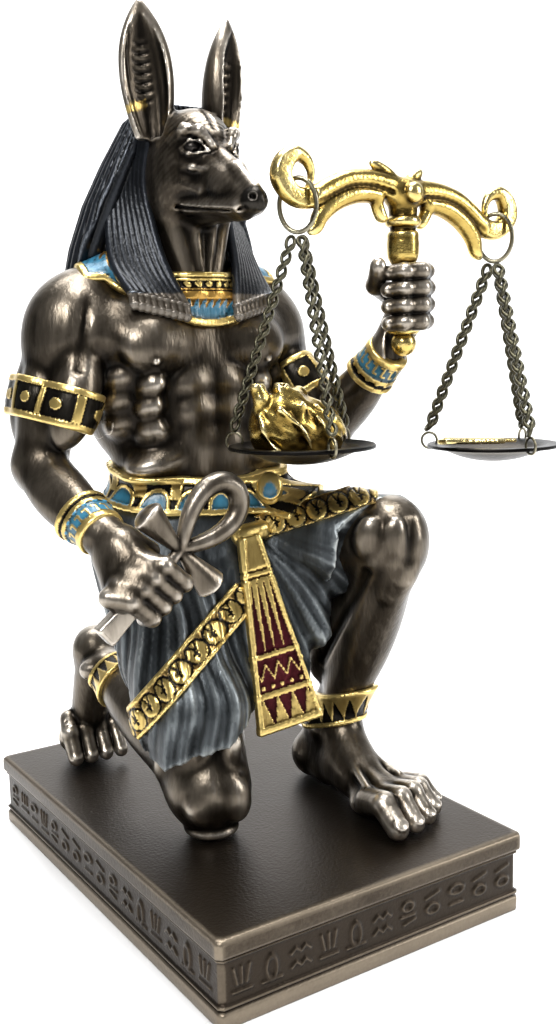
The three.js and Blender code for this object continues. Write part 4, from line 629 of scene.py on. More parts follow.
def lappets(c):
    for s in (RIGHT, LEFT):
        for i in range(LAPPET):
            k = i / (LAPPET - 1)
            path = [at(s, 12 + 5 * k, 10 + 9 * k, 232 - 3 * k), at(s, 14 + 6.5 * k, 12.4 + 9 * k, 216),
                    at(s, 13.5 + 9.5 * k, 9.5 + 9 * k, 203), at(s, 12.4 + 12.2 * k, 4.6 + 8 * k, 191),
                    at(s, 9 + 14.6 * k, -1.6 + 4.6 * k, 178.4 + 3.6 * k)]
            fine, _ = curve(path, [1.45] * 5, 4)
            tube(c, fine, [1.45] * len(fine), 0.1)
            end = fine[-1] + (0, -0.7, -3)
            c.join(limb(fine[-1], 1.45, end, 1.5), 0.2)
            for drop in (0.3, 3.6):
                back = unit(fine[-1] - end)
                c.join(hoop(end + back * drop, back, 1.4, 0.4), 0.1)


def collar_top(x):
    return 188.5 + 0.5 * np.maximum(np.abs(x + 5) - 10, 0)


def collar_shell(c):
    def f(old, x, y, z):
        r = np.sqrt(((x + 5) / 1.18) ** 2 + (y - 16) ** 2)
        low = 173 + np.minimum(0.0185 * (x + 5) ** 2, 14) - z
        d = np.maximum(np.maximum(old - 1.5, -(old + 0.6)), np.maximum(r - 28.5, low * 0.8))
        return np.maximum(d, np.maximum(11 - r, (z - collar_top(x)) * 0.9))
    c.everywhere(f)


KNOT = (-3, -13, 111)
VIEW_BACK = vec((-0.543, -0.826, 0.152))
ORNAMENT = vec((4, -17.4, 124.4))


def cloth(c):
    p = PELVIS
    c.join(limb(plus(p, (0, 0, 12)), 22, plus(p, (0, 0, -6)), 25), 0)
    c.join(oval((-3, 13.5, 108), (20, 32.6, 21.6)), 4)
    c.join(limb(plus(HIP_R, (-1, -1, 0)), 22.5, (-22, -13.5, 60), 17.5), 8)
    c.join(limb((-22, -14.6, 60), 17, (-21.5, -15.8, 48), 16), 3)
    c.join(limb(plus(HIP_L, (0, -2, -1)), 20, (25, -26, 107), 15), 8)
    c.join(limb((25, -26, 107), 15, (32.6, -40, 109.2), 13), 3)
    c.join(limb((-3, -4, 98), 15, (-4, -16, 58), 9), 7)
    c.join(limb((8, -10, 96), 12, (8.5, -22, 68), 5.5), 6)
    c.join(limb((16, -20, 98), 8, (15.5, -25, 80), 4), 5)
    c.join(oval((-4, 26, 98), (22, 24, 14)), 8)

    def hem(old, x, y, z):
        # over the right knee the hem rises towards the middle
        low = 47 + 0.42 * np.clip(x + 38, 0, 40) * np.clip((4 - y) / 20, 0, 1)
        return np.maximum(old, np.where(x < 2, low, 48) - z)
    c.everywhere(hem)

    def knee_edge(old, x, y, z):
        # over the left knee the cloth ends along a slanting line
        cut = -y - 36.5 - 0.35 * (z - 112)
        cut = cut - 12 * np.clip((15 - x) / 3, 0, 1) - 20 * np.clip((92 - z) / 6, 0, 1)
        return np.maximum(old, cut * 0.8)
    c.everywhere(knee_edge)

    def pleats(old, x, y, z):
        right = np.arctan2(x + 16, -(y - 12)) * 17
        fan = np.arctan2(x - KNOT[0] + 2, KNOT[2] + 6 - z) * 20
        k = np.clip((x + 6) / 8, 0, 1)
        deep = np.clip((112 - z) / 30, 0, 1) * np.clip(old + 3, 0, 1)
        wobble = 0.9 * np.sin(z * 0.09 + x * 0.07) + 0.5 * np.sin(z * 0.21 + y * 0.1)
        wave = np.sin(right + wobble) * (1 - k) + np.sin(fan + wobble) * k
        fine = np.sin(right * 2.7 + wobble * 2 + z * 0.05) * (1 - k) + np.sin(fan * 3.1 + wobble) * k
        finest = np.sin(right * 7.3 + wobble * 3) * (1 - k) + np.sin(fan * 8.1 + wobble * 2) * k
        return old + deep * (0.62 * wave + 0.26 * fine + 0.09 * finest)
    c.change((-60, -50, 40), (45, 50, 120), 0, pleats)


BANDS = {
    "armlet_right": ((-48.4, 17.5, 150.4), (-0.31, 0.03, -0.95), 5.8, 18, 1.3),
    "bracelet_right": ((-49.6, -7.6, 117.6), (0.14, -0.87, -0.476), 5.3, 13, 1.3),
    "armlet_left": ((36, 14, 154), (0.3, -0.42, -0.82), 6.2, 16, 1.4),
    "bracelet_left": ((45, -19, 160.5), (0.08, -0.72, 0.69), 5.8, 12, 1.4),
    "anklet_left": ((30.5, -16, 51), (0.05, -0.25, -1), 4.8, 15, 1.3),
    "anklet_right": ((-28, 29, 60), (-0.15, 0.9, 0.4), 4, 13, 1.2),
    "belt": ((-3.5, 13, 125.3), (0, -0.15, 1), 4.8, 40, 1.5),
}
STRIPS = {
    "kilt_edge_right": ((-8, -22, 94.5), (-37.5, -2, 55), 4.3, 27, 1.3),
    "kilt_edge_left": ((3, -16, 113), (29, -33, 122.5), 3.4, 19, 1.2),
}
SASH_TOP, SASH_END, SASH_FACE = vec((-5, -19, 111)), vec((2, -29, 54)), vec((-0.1, -1, -0.15))


# The balance

TILT = -0.083
BEAM_Z = 211.5
# One arm of the beam out to its scroll, and the leaf below it: distance from the column and height
BEAM_ARM = ((0, -1), (8, 0.6), (14, 1), (21, 0), (27, -2.8), (31, -5.4), (35.4, -7), (40, -6.4),
            (43.6, -2.4), (42.9, 1.8), (39.6, 4.5), (35.9, 3.7), (33.9, 1.1), (33.7, -1.8), (34.6, -4.2))
BEAM_ARM_RADII = (4.4, 3.6, 3.2, 3, 3, 3.1, 3.1, 3, 3.2, 3, 2.4, 1.8, 1.3, 1, 1)
BEAM_LEAF = ((10, -2.6), (16, -2.8), (21.5, -4.6), (26.2, -7.4), (29.6, -11), (31, -14.4), (32.6, -15.8))
BEAM_LEAF_RADII = (2.6, 3, 3, 2.9, 2.6, 2.1, 1.2)
BEAM_GROOVE = ((6, -1.8), (14, -1), (21, -2.2), (27, -5.4), (32, -8))


def beam_point(u, z, out=0.0):
    return (COLUMN[0] + u * math.cos(TILT) - z * math.sin(TILT), COLUMN[1] - out,
            BEAM_Z + u * math.sin(TILT) + z * math.cos(TILT))



def balance(c):
    bx, by = COLUMN
    for s in (RIGHT, LEFT):
        def p(u, z, out=0.0):
            return beam_point(s * u, z, out)
        tube(c, *curve([p(*q) for q in BEAM_ARM], BEAM_ARM_RADII, 5), 1)
        tube(c, *curve([p(*q) for q in BEAM_LEAF], BEAM_LEAF_RADII, 5), 0.6)
        tube(c, *curve([p(10, -1.5), p(9.6, -5), p(7.8, -8.4), p(6.4, -8.8)], [2.4, 2, 1.9, 1.1], 5), 1)
        fin = 9 - 3 * s
        crest = [p(2, 0), p(fin / 2, 3.4), p(fin * 0.83, 5.4), p(fin, 6.2)]
        tube(c, *curve(crest, [2.4, 2.2, 1.7, 1.1], 5), 0.8)
        # a groove between two ridges along both faces of each arm
        for face_out in (-3.2, 3.2):
            line = [p(*q, face_out) for q in BEAM_GROOVE]
            path, _ = curve(line, [1] * len(line), 4)
            for i in range(len(path) - 1):
                c.carve(limb(path[i], 0.9, path[i + 1], 0.9), 0.5)
    c.everywhere(lambda old, x, y, z: np.where(
        np.abs(x - bx) < 33, old, np.maximum(old, np.abs(y - by) - 2.3)))
    c.join(oval((bx, by, BEAM_Z - 1.5), (5, 6, 5.4)), 1.5)
    c.join(oval((bx, by - 5.4, BEAM_Z - 1), (3, 3, 2)), 0.6)
    c.join(limb((bx, by, BEAM_Z - 2), 4.6, (bx, by, 201), 4), 0.5)
    c.join(hoop((bx, by, 202.4), (0, 0, 1), 3.9, 1.6), 0.3)
    c.join(hoop((bx, by, 198.6), (0, 0, 1), 3.6, 1.2), 0.3)
    c.join(limb((bx, by, 196), 4.9, (bx, by, 193.4), 4.8), 0.8)
    c.join(limb((bx, by, 194), 3.4, (bx, by, 172), 3.4), 0.5)
    c.join(hoop((bx, by, 170.6), (0, 0, 1), 3.6, 1.5), 0.3)
    c.join(oval((bx, by, 166.4), (3.9, 3.9, 3.9)), 0.6)


PAN_R, PAN_L = vec((7.3, -30, 137.5)), vec((83.6, -30, 132.8))
HEART_AT = PAN_R + (-2.2, 0.8, -5.2)


def dish_top(r):
    return 0.5 - np.where(r < 17.5, 4.6 * (1 - (np.minimum(r, 17.5) / 17.5) ** 2.2), 0)


VESSELS = (((-9, -6.6, 17), (-4, -8.8, 12), (0, -9, 5)), ((-2, -7.6, 18), (4, -9, 12), (8, -8.2, 4)),
           ((4, -6.6, 17), (11, -6.4, 12), (15, -3.6, 8)),
           ((-13, -2, 15), (-12.4, -4.6, 9), (-9, -7.4, 3.6)), ((-6, 8.8, 16), (3, 9, 10), (11, 6, 8)))


def heart(c):
    def h(x, y, z):
        return HEART_AT + (x, y, z)
    c.join(oval(h(-3, 0.5, 11.5), (11, 10.5, 9), (0.2, 0, 1)))
    c.join(oval(h(6, -0.5, 9), (9.6, 9.4, 8.4), (-0.35, 0, 1)), 3)
    c.join(oval(h(11, 0, 8), (5, 5.2, 4.6)), 4)
    c.join(limb(h(-10, 0, 17), 3, h(-12, 0.5, 22.6), 2.1), 1.2)
    c.join(limb(h(-4.5, -1.5, 19), 3.4, h(-5, -1.5, 22), 2.5), 1.2)
    c.join(limb(h(-1, 1, 18.5), 3.4, h(3, 1.5, 20.4), 2.3), 1.5)
    c.carve(limb(h(-12, 0.5, 22.4), 1, h(-12.6, 0.5, 26), 1), 0.3)
    c.carve(limb(h(-5, -1.5, 22.4), 1.2, h(-5.2, -1.5, 26), 1.2), 0.3)
    # vessels over the surface, and the folds between the lobes
    for path in VESSELS:
        pts, _ = curve([h(*q) for q in path], [1] * 3, 4)
        tube(c, pts, [0.6] * len(pts), 1.4)
    c.carve(limb(h(0, -9.8, 18), 0.8, h(3.4, -10, 4), 0.7), 1.6)
    c.carve(limb(h(-11, -8, 12), 0.6, h(-4, -10, 7.5), 0.6), 1.2)

    def lumps(old, x, y, z):
        n = np.sin(x * 0.62 + 1.3 * np.sin(z * 0.31))
        n = n * np.sin(z * 0.55 + x * 0.4) * np.sin(y * 0.5 + z * 0.22)
        m = np.sin(x * 1.1 + z * 0.6) * np.sin(z * 1.2 - y * 0.5) * np.sin(y * 1.1 + x * 0.5)
        return old - 0.5 * n - 0.22 * m
    c.everywhere(lumps)
    c.everywhere(lambda old, x, y, z: np.maximum(
        old, PAN_R[2] + dish_top(np.sqrt((x - PAN_R[0]) ** 2 + (y - PAN_R[1]) ** 2)) + 0.6 - z))


FEATHER_AT = PAN_L + (-7.5, -1, 1.9)


def feather(c):
    def q(u, z, v=0.0):
        return FEATHER_AT + (u, v, z)
    vane = [(-16, 0.8, 2.2), (-12, 0.5, 3.8), (-4, 0, 4.6), (5, -0.5, 4.2), (10, -0.8, 2.6)]
    for (u0, z0, w0), (u1, z1, w1) in zip(vane, vane[1:]):
        c.join(bar(q(u0, z0), q(u1, z1), w0, w1, 0.9, (0, 0.1, 1), 0.5), 0.8)

    def barbs(old, x, y, z):
        v = y - FEATHER_AT[1]
        wave = np.abs(np.sin((x - FEATHER_AT[0] - 1.1 * np.abs(v)) * 1.5))
        return old + 0.14 * wave * np.clip(np.abs(v), 0, 1)
    c.everywhere(barbs)
    c.join(limb(q(-14, 1.3, 0), 0.8, q(17.5, -1, 1), 0.7), 0.8)


# Meshes

def vertex_normals(points, quads):
    d = np.cross(points[quads[:, 2]] - points[quads[:, 0]], points[quads[:, 3]] - points[quads[:, 1]])
    n = np.zeros_like(points)
    for i in range(3):
        total = sum(np.bincount(quads[:, j], d[:, i], len(points)) for j in range(4))
        n[:, i] = total
    return n / (np.linalg.norm(n, axis=1)[:, None] + 1e-9)


def convexity(points, quads, normals, rounds):
    """How far each point stands proud of its smoothed surroundings, in millimetres."""
    a = np.concatenate([quads[:, i] for i in range(4)] + [quads[:, (i + 1) % 4] for i in range(4)])
    b = np.concatenate([quads[:, (i + 1) % 4] for i in range(4)] + [quads[:, i] for i in range(4)])
    count = np.maximum(np.bincount(a, minlength=len(points)), 1)
    p = points.copy()
    for _ in range(rounds):
        p = np.stack([np.bincount(a, p[b, i], len(points)) / count for i in range(3)], axis=1)
    return np.einsum("ij,ij->i", points - p, normals)


def give(mesh, key, kind, field, values):
    """An attribute with a value for each point."""
    mesh.attributes.new(key, kind, "POINT").data.foreach_set(field, values)


def thin(ob, keep):
    """Joins the flattest neighbours, so that a piece has this share of its triangles and its form."""
    ob.modifiers.new("thin", "DECIMATE").ratio = keep
    graph = bpy.context.evaluated_depsgraph_get()
    mesh = bpy.data.meshes.new_from_object(ob.evaluated_get(graph), preserve_all_data_layers=True,
                                           depsgraph=graph)
    ob.modifiers.clear()
    ob.data = mesh
    mesh.name = ob.name


def build(name, points, quads, material, slot, nodes, paint=None, relief=None, step=0.5, keep=1):
    """Makes a piece from points in millimetres.

    paint gives a colour and its amount for each point, and relief a height.
    """
    normals = vertex_normals(points, quads)
    if relief is not None:
        points = points + normals * relief(points, normals)[:, None]
    fine_rounds, broad_rounds = (int(round(count * ROUND_STEP / step)) for count in (4, 26))
    fine = convexity(points, quads, normals, max(3, fine_rounds)) / 0.25
    # form is the broad convexity plus painted light from above: upward faces lighter, undersides darker as
    # painted shade
    broad = convexity(points, quads, normals, max(6, broad_rounds)) / 0.9 + 0.3 * normals[:, 2]
    mesh = bpy.data.meshes.new(name)
    n, m = len(points), len(quads)
    mesh.vertices.add(n)
    mesh.vertices.foreach_set("co", (points * MM).astype(np.float32).ravel())
    mesh.loops.add(4 * m)
    mesh.loops.foreach_set("vertex_index", quads.astype(np.int32).ravel())
    mesh.polygons.add(m)
    mesh.polygons.foreach_set("loop_start", np.arange(0, 4 * m, 4, dtype=np.int32))
    mesh.polygons.foreach_set("use_smooth", np.ones(m, bool))
    mesh.update(calc_edges=True)
    for key, values in (("wear", fine), ("form", broad)):
        give(mesh, key, "FLOAT", "value", np.clip(values, -2, 2).astype(np.float32))
    colours = np.zeros((n, 4), np.float32) if paint is None else paint(points, normals).astype(np.float32)
    give(mesh, "paint", "FLOAT_COLOR", "color", colours.ravel())
    # bare, dark and gold places are metal, and the other colours are enamel
    bare = colours[:, 3] == 0
    dark = (colours[:, 0] < 0.03) & (colours[:, 2] < 0.03)
    shine = (bare | dark | (colours[:, 0] > colours[:, 2] * 1.35)).astype(np.float32)
    give(mesh, "metal", "FLOAT", "value", shine)
    mesh.validate()
    ob = bpy.data.objects.new(name, mesh)
    bpy.context.scene.collection.objects.link(ob)
    ob.data.materials.append(material)
    if keep < 1:
        thin(ob, keep)
    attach(ob, "root")
    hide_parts(*nodes)


# Grid step that the rounds of smoothing are counted for
ROUND_STEP = 0.45
# Share of the triangles that stays, on skin, hair and cloth and on what has a fine pattern
PLAIN_KEEP = 0.35
PATTERN_KEEP = 0.6


def cast(name, clay, material, slot, nodes, keep=PLAIN_KEEP, **how):
    points, quads = clay.surface()
    build(name, points, quads, material, slot, nodes, step=clay.step, keep=keep, **how)


def bronze(name, clay, **how):
    cast(name, clay, BRONZE, "cold_cast_bronze", FIG, **how)


# Colours of the painted parts, with the amount of paint

GOLD = np.array((0.58, 0.42, 0.14, 1))
DARK_GOLD = np.array((0.24, 0.155, 0.05, 1))
ORANGE_GOLD = np.array((0.50, 0.29, 0.07, 1))
BLUE = np.array((0.035, 0.17, 0.27, 1))
MAROON = np.array((0.085, 0.012, 0.017, 1))
DARK = np.array((0.022, 0.019, 0.015, 1))
# near-black painted shade over the carved eyes and their sockets
EYE_SOCKET_SHADE = np.array((0.012, 0.011, 0.011, 0.9))
STRAND_TIP = np.array((0.17, 0.145, 0.115, 0.85))
BARE = np.array((0, 0, 0, 0))


def choose(points, base, *layers):
    """Colours by the last mask that holds, over a base colour."""
    out = np.tile(np.asarray(base, float), (len(points), 1))
    for mask, colour in layers:
        out[mask] = colour
    return out


# Materials

GRAIN_HEIGHT = 0.2


def socket(tree, node, name, value):
    if hasattr(value, "links"):
        tree.links.new(value, node.inputs[name])
    else:
        node.inputs[name].default_value = value


def calc(tree, op, a, b=None, c=None, clamp=False):
    n = tree.nodes.new("ShaderNodeMath")
    n.operation = op
    n.use_clamp = clamp
    for i, v in enumerate((a, b, c)):
        if v is not None:
            socket(tree, n, i, v)
    return n.outputs[0]


def noise(tree, size_mm, detail=3, stretch=(1, 1, 1)):
    where = tree.nodes.new("ShaderNodeTexCoord")
    scaled = tree.nodes.new("ShaderNodeVectorMath")
    scaled.operation = "MULTIPLY"
    tree.links.new(where.outputs["Object"], scaled.inputs[0])
    scaled.inputs[1].default_value = stretch
    n = tree.nodes.new("ShaderNodeTexNoise")
    n.inputs["Scale"].default_value = 1000 / size_mm
    n.inputs["Detail"].default_value = detail
    tree.links.new(scaled.outputs[0], n.inputs["Vector"])
    return n.outputs["Fac"]


def mix(tree, amount, a, b):
    n = tree.nodes.new("ShaderNodeMix")
    n.data_type = "RGBA"
    socket(tree, n, "Factor", amount)
    for key, v in ((6, a), (7, b)):
        if hasattr(v, "links"):
            tree.links.new(v, n.inputs[key])
        else:
            n.inputs[key].default_value = (*v[:3], 1)
    return n.outputs[2]


def ramp(tree, amount, stops):
    n = tree.nodes.new("ShaderNodeValToRGB")
    e = n.color_ramp.elements
    while len(e) < len(stops):
        e.new(0.5)
    for item, (place, colour) in zip(e, stops):
        item.position = place
        item.color = (*colour, 1)
    tree.links.new(amount, n.inputs[0])
    return n.outputs[0]


def attribute(tree, name):
    n = tree.nodes.new("ShaderNodeAttribute")
    n.attribute_name = name
    return n


def finish(name, stops, rough, metallic=0.9, wear=0.35, form=0.35, grain=0.10,
           grain_mm=5.0, stretch=(1, 1, 1)):
    """A cast and painted surface: stops run from the recesses to the rubbed edges, and through form the tops
    are lit and the undersides shaded as painted light.
    """
    m = bpy.data.materials.new(name)
    m.use_nodes = True
    tree = m.node_tree
    tree.nodes.clear()
    out = tree.nodes.new("ShaderNodeOutputMaterial")
    bsdf = tree.nodes.new("ShaderNodeBsdfPrincipled")
    tree.links.new(bsdf.outputs[0], out.inputs[0])
    patchy = noise(tree, grain_mm, 4, stretch)
    small = noise(tree, 0.9, 2, stretch)
    level = calc(tree, "MULTIPLY_ADD", patchy, 2 * grain, 0.5 - grain)
    level = calc(tree, "MULTIPLY_ADD", attribute(tree, "wear").outputs["Fac"], wear, level)
    # form carries painted light from above, so tops come out lighter and undersides darker
    level = calc(tree, "MULTIPLY_ADD", attribute(tree, "form").outputs["Fac"], form, level)
    level = calc(tree, "ADD", level, calc(tree, "MULTIPLY_ADD", small, 0.08, -0.04), clamp=True)
    base = ramp(tree, level, stops)
    roughness = calc(tree, "MULTIPLY_ADD", patchy, rough[1] - rough[0], rough[0])
    paint = attribute(tree, "paint")
    # paint is darkened in recesses and lifted on rubbed edges, and through form also lit on top and shaded
    # underneath as painted light
    dim = ramp(tree, level, [(0.0, (0.03, 0.025, 0.02)), (0.38, (0.32, 0.29, 0.25)),
                             (0.58, (0.95, 0.95, 0.95)), (1.0, (1.3, 1.35, 1.45))])
    shaded = tree.nodes.new("ShaderNodeMix")
    shaded.data_type = "RGBA"
    shaded.blend_type = "MULTIPLY"
    shaded.inputs["Factor"].default_value = 1
    tree.links.new(paint.outputs["Color"], shaded.inputs[6])
    tree.links.new(dim, shaded.inputs[7])
    base = mix(tree, paint.outputs["Alpha"], base, shaded.outputs[2])
    shine = calc(tree, "MULTIPLY", attribute(tree, "metal").outputs["Fac"], metallic)
    socket(tree, bsdf, "Base Color", base)
    socket(tree, bsdf, "Metallic", shine)
    socket(tree, bsdf, "Roughness", roughness)
    b = tree.nodes.new("ShaderNodeBump")
    b.inputs["Strength"].default_value = 0.5
    b.inputs["Distance"].default_value = GRAIN_HEIGHT * MM
    tree.links.new(small, b.inputs["Height"])
    tree.links.new(b.outputs[0], bsdf.inputs["Normal"])
    return m


BRONZE = finish("cold_cast_bronze", [(0.0, (0.002, 0.0015, 0.001)), (0.36, (0.014, 0.011, 0.008)),
                                     (0.52, (0.044, 0.035, 0.025)), (0.7, (0.155, 0.13, 0.1)),
                                     (1.0, (0.62, 0.56, 0.48))],
                rough=(0.24, 0.36), stretch=(1, 1, 0.22), wear=0.3, form=0.42, grain=0.14)
HAIR = finish("blue_black_hair", [(0.0, (0.0008, 0.0008, 0.001)), (0.45, (0.004, 0.005, 0.0065)),
                                  (0.7, (0.018, 0.021, 0.027)), (1.0, (0.22, 0.24, 0.27))],
              metallic=0.6, rough=(0.26, 0.36), form=0.06, wear=0.42, grain=0.05)
CLOTH = finish("blue_grey_cloth", [(0.0, (0.002, 0.0025, 0.003)), (0.38, (0.009, 0.011, 0.012)),
                                   (0.6, (0.042, 0.048, 0.052)), (0.8, (0.15, 0.165, 0.17)),
                                   (1.0, (0.40, 0.42, 0.41))],
               metallic=0.7, rough=(0.32, 0.46), stretch=(1, 1, 0.2), grain=0.2, wear=0.35, form=0.3)
GILT = finish("antique_gilt", [(0.0, (0.006, 0.004, 0.0015)), (0.3, (0.05, 0.032, 0.009)),
                               (0.5, (0.27, 0.18, 0.045)), (0.68, (0.56, 0.41, 0.12)),
                               (1.0, (0.92, 0.78, 0.4))], metallic=1.0,
              rough=(0.2, 0.32), form=0.42, wear=0.3, grain=0.1)
PLINTH = finish("plinth_bronze", [(0.0, (0.003, 0.002, 0.0015)), (0.4, (0.018, 0.0125, 0.008)),
                                  (0.6, (0.032, 0.023, 0.015)), (1.0, (0.28, 0.23, 0.17))],
                metallic=0.85, rough=(0.36, 0.44), grain=0.05, grain_mm=14, form=0.02, wear=0.16)
CHAIN = finish("olive_bronze_chain", [(0.0, (0.0015, 0.0015, 0.001)), (0.55, (0.012, 0.0115, 0.0075)),
                                      (1.0, (0.085, 0.079, 0.052))],
               metallic=0.95, rough=(0.26, 0.38), form=0.05)
RINGS = finish("steel_bronze_ring", [(0.0, (0.015, 0.014, 0.01)), (0.5, (0.075, 0.068, 0.046)),
                                     (1.0, (0.34, 0.31, 0.22))],
               metallic=1.0, rough=(0.22, 0.34), form=0.05)
PANS = finish("dark_pan", [(0.0, (0.003, 0.0025, 0.002)), (0.5, (0.026, 0.021, 0.016)),
                           (1.0, (0.16, 0.14, 0.11))],
              metallic=0.9, rough=(0.34, 0.46), grain=0.08, form=0.05)


# Patterns: each returns the paint for points, from places measured on the band

def around(points, band):
    """Angle about a band's axis, from the side that faces the camera, and distance along it."""
    w, u, v = axes(band[1], VIEW_BACK)
    p = points - vec(band[0])
    return np.arctan2(p @ v, p @ u), p @ w


def cells(x, period):
    """Place within a cell, from -half to half, and the cell's number."""
    k = np.floor(x / period + 0.5)
    return x - k * period, k


def rims(along, half, width):
    return np.abs(along) > half - width


def armlet_paint(band, studs, shift=0.0, medallion=None):
    half = band[2]

    def masks(p):
        angle, along = around(p, band)
        arc = (angle + shift) * 12.5
        period = 2 * math.pi * 12.5 / studs
        x, _ = cells(arc, period)
        y, _ = cells(arc + period / 2, period)
        stud = np.hypot(x, along) < 1.7
        upright = (np.abs(y) < 1.1) & (np.abs(along) < half - 1.8)
        rim = rims(along, half, 1.7)
        disc = np.zeros(len(p), bool)
        rings = disc
        if medallion is not None:
            m = np.hypot(arc - medallion * 12.5, along)
            disc = m < half - 0.6
            swirl = np.sin(np.arctan2(along, arc - medallion * 12.5) * 4 + m * 1.6) > 0.55
            lines = (np.abs(m - half + 1.6) < 0.35) | (np.abs(m - half + 3.4) < 0.35) | (m < 0.8)
            rings = disc & (lines | ((m > 1.2) & (m < half - 4) & swirl))
        return rim, stud, upright, disc, rings

    def paint(p, n):
        rim, stud, upright, disc, rings = masks(p)
        return choose(p, DARK, (stud | upright, GOLD), (disc, GOLD),
                      (rings, DARK_GOLD), (rim, GOLD))

    def relief(p, n):
        rim, stud, upright, disc, rings = masks(p)
        return np.where(rim, 0.35, 0.0) + np.where((stud | upright) & ~rim & ~disc, 0.4, 0.0) + \
            np.where(disc & ~rim, 0.45, 0.0) - np.where(rings, 0.3, 0)
    return paint, relief


def bracelet_paint(band, studs, lo_key=-1.2, hi_key=4.6):
    half = band[2]

    def masks(p):
        angle, along = around(p, band)
        arc = angle * 8.6
        x, _ = cells(arc, 2 * math.pi * 8.6 / studs)
        bead = np.hypot(x, along + half - 3.6) < 1.05
        rim = (along < -half + 1.5) | (along > half - 1.9) | (np.abs(along - lo_key + 0.8) < 0.7)
        key = (along > lo_key) & (along < hi_key)
        y, _ = cells(arc, 3.4)
        line = key & ((np.abs(y) < 0.42) & (along > lo_key + 1.4) | (np.abs(along - lo_key - 1.6) < 0.38) &
                      (y > 0) | (np.abs(along - hi_key + 1.3) < 0.38) & (y < 0))
        return rim, bead, key, line

    def paint(p, n):
        rim, bead, key, line = masks(p)
        return choose(p, DARK, (bead, GOLD), (key, BLUE), (line, GOLD), (rim, GOLD))

    def relief(p, n):
        rim, bead, key, line = masks(p)
        return np.where(rim, 0.35, 0) + np.where(bead & ~rim, 0.4, 0) + np.where(line & ~rim, 0.15, 0)
    return paint, relief


def triangles_paint(band, period=4.2, radius=9.5):
    half = band[2]

    def masks(p):
        angle, along = around(p, band)
        x, _ = cells(angle * radius, period)
        rim = rims(along, half, 1.2)
        tri = (np.abs(x) < (half - 1.2 - along) * 0.32) & ~rim
        return rim, tri

    def paint(p, n):
        rim, tri = masks(p)
        return choose(p, DARK, (tri, GOLD), (rim, GOLD))

    def relief(p, n):
        rim, tri = masks(p)
        return np.where(rim, 0.35, 0) + np.where(tri, 0.3, 0)
    return paint, relief


def belt_paint(band):
    half = band[2]

    def masks(p):
        angle, along = around(p, band)
        arc = angle * 24
        x, _ = cells(arc, 9.2)
        y, _ = cells(arc + 4.6, 9.2)
        rim = rims(along, half, 1.5)
        top = half - 1.5
        drop = np.hypot(x, (along + top) * 0.72)
        eye_ = drop < 3.0
        ringed = (drop >= 3.0) & (drop < 3.9)
        wedge = (np.abs(y) < 0.9 + (along + top) * 0.16) & (along > -1)
        return rim, eye_, ringed, wedge

    def paint(p, n):
        rim, eye_, ringed, wedge = masks(p)
        return choose(p, DARK, (wedge, GOLD), (ringed, GOLD), (eye_, BLUE), (rim, GOLD))

    def relief(p, n):
        rim, eye_, ringed, wedge = masks(p)
        return np.where(rim, 0.4, 0) + np.where((ringed | wedge) & ~rim, 0.25, 0)
    return paint, relief


def collar_rows(p):
    r = np.hypot((p[:, 0] + 5) / 1.18, p[:, 1] - 16)
    side = np.clip((np.abs(p[:, 0] + 5) - 8) / 9, 0, 1)
    s = np.hypot(np.maximum(r - 13, 0) * side, 1.1 * np.maximum(collar_top(p[:, 0]) - p[:, 2], 0))
    angle = np.arctan2(p[:, 0] + 5, 16 - p[:, 1])
    return s, angle * (11 + s * 0.8)


def collar_masks(p):
    s, arc = collar_rows(p)
    edge = 173 + np.minimum(0.0185 * (p[:, 0] + 5) ** 2, 14) - p[:, 2] > -1.9
    r = np.hypot((p[:, 0] + 5) / 1.18, p[:, 1] - 16)
    rim = (s < 1.3) | edge | (r > 27.1) | (np.abs(s - 2.1) < 0.3)
    x, _ = cells(arc, 2.9)
    bead = (s > 2.4) & (s < 5) & (np.hypot(x, s - 3.6) < 0.95)
    line = (s > 4.9) & (s < 8.2) & (np.abs(s - 5.7) > 0.25)
    teeth = (s > 8.2) & ~rim
    y, _ = cells(arc + 0.5 * s, 2.8)
    gold_tip = teeth & (s < 11.4) & (np.abs(y) > 0.25 + (s - 8.2) * 0.36)
    return rim, bead, line, teeth & ~gold_tip, teeth & (np.abs(y) < 0.2), gold_tip


def collar_paint(p, n):
    rim, bead, line, teeth, point, tip = collar_masks(p)
    return choose(p, DARK, (bead, GOLD), (line, ORANGE_GOLD), (teeth, BLUE),
                  (point, DARK), (tip, ORANGE_GOLD), (rim, GOLD))


def collar_relief(p, n):
    rim, bead, line, teeth, *_ = collar_masks(p)
    return np.where(rim, 0.4, 0) + np.where(bead, 0.35, 0) + np.where(line, 0.3, 0) + np.where(teeth, 0.1, 0)


def strip_paint(name):
    """Overlapping scales with slanting strokes over them."""
    a, b = STRIPS[name][:2]
    middle = (vec(a) + vec(b)) / 2
    along, across, _ = axes(vec(b) - vec(a), np.cross(vec(b) - vec(a), VIEW_BACK))
    turn = 1 if name == "kilt_edge_right" else -1

    def masks(p):
        t = (p - middle) @ along
        w = (p - middle) @ across * turn
        x, k = cells(t, 6.6)
        disc = np.hypot(x, w + 0.2) < 3.3
        outline = np.abs(np.hypot(x, w + 0.2) - 3.3) < 0.35
        v, _ = cells(t, 3.3)
        stroke = (np.abs(np.abs(v) - (w - 0.2) * 0.45) < 0.3) & (w > 0.4) & (w < 3.0)
        stem = (np.abs(x - 0.4) < 0.4) & (w > -1.6) & (w < 0.6)
        foot = (np.abs(w + 0.2) < 0.3) & (np.abs(x - 0.6) < 1.0)
        edge = np.abs(w) > 3.35
        return disc, outline, stroke | stem | foot, edge

    def paint(p, n):
        disc, outline, stroke, edge = masks(p)
        return choose(p, DARK_GOLD, (disc, GOLD), (outline | stroke, DARK), (edge, GOLD))

    def relief(p, n):
        disc, outline, stroke, edge = masks(p)
        return np.where(disc, 0.15, 0) + np.where(edge, 0.25, 0) - np.where(outline | stroke, 0.2, 0)
    return paint, relief


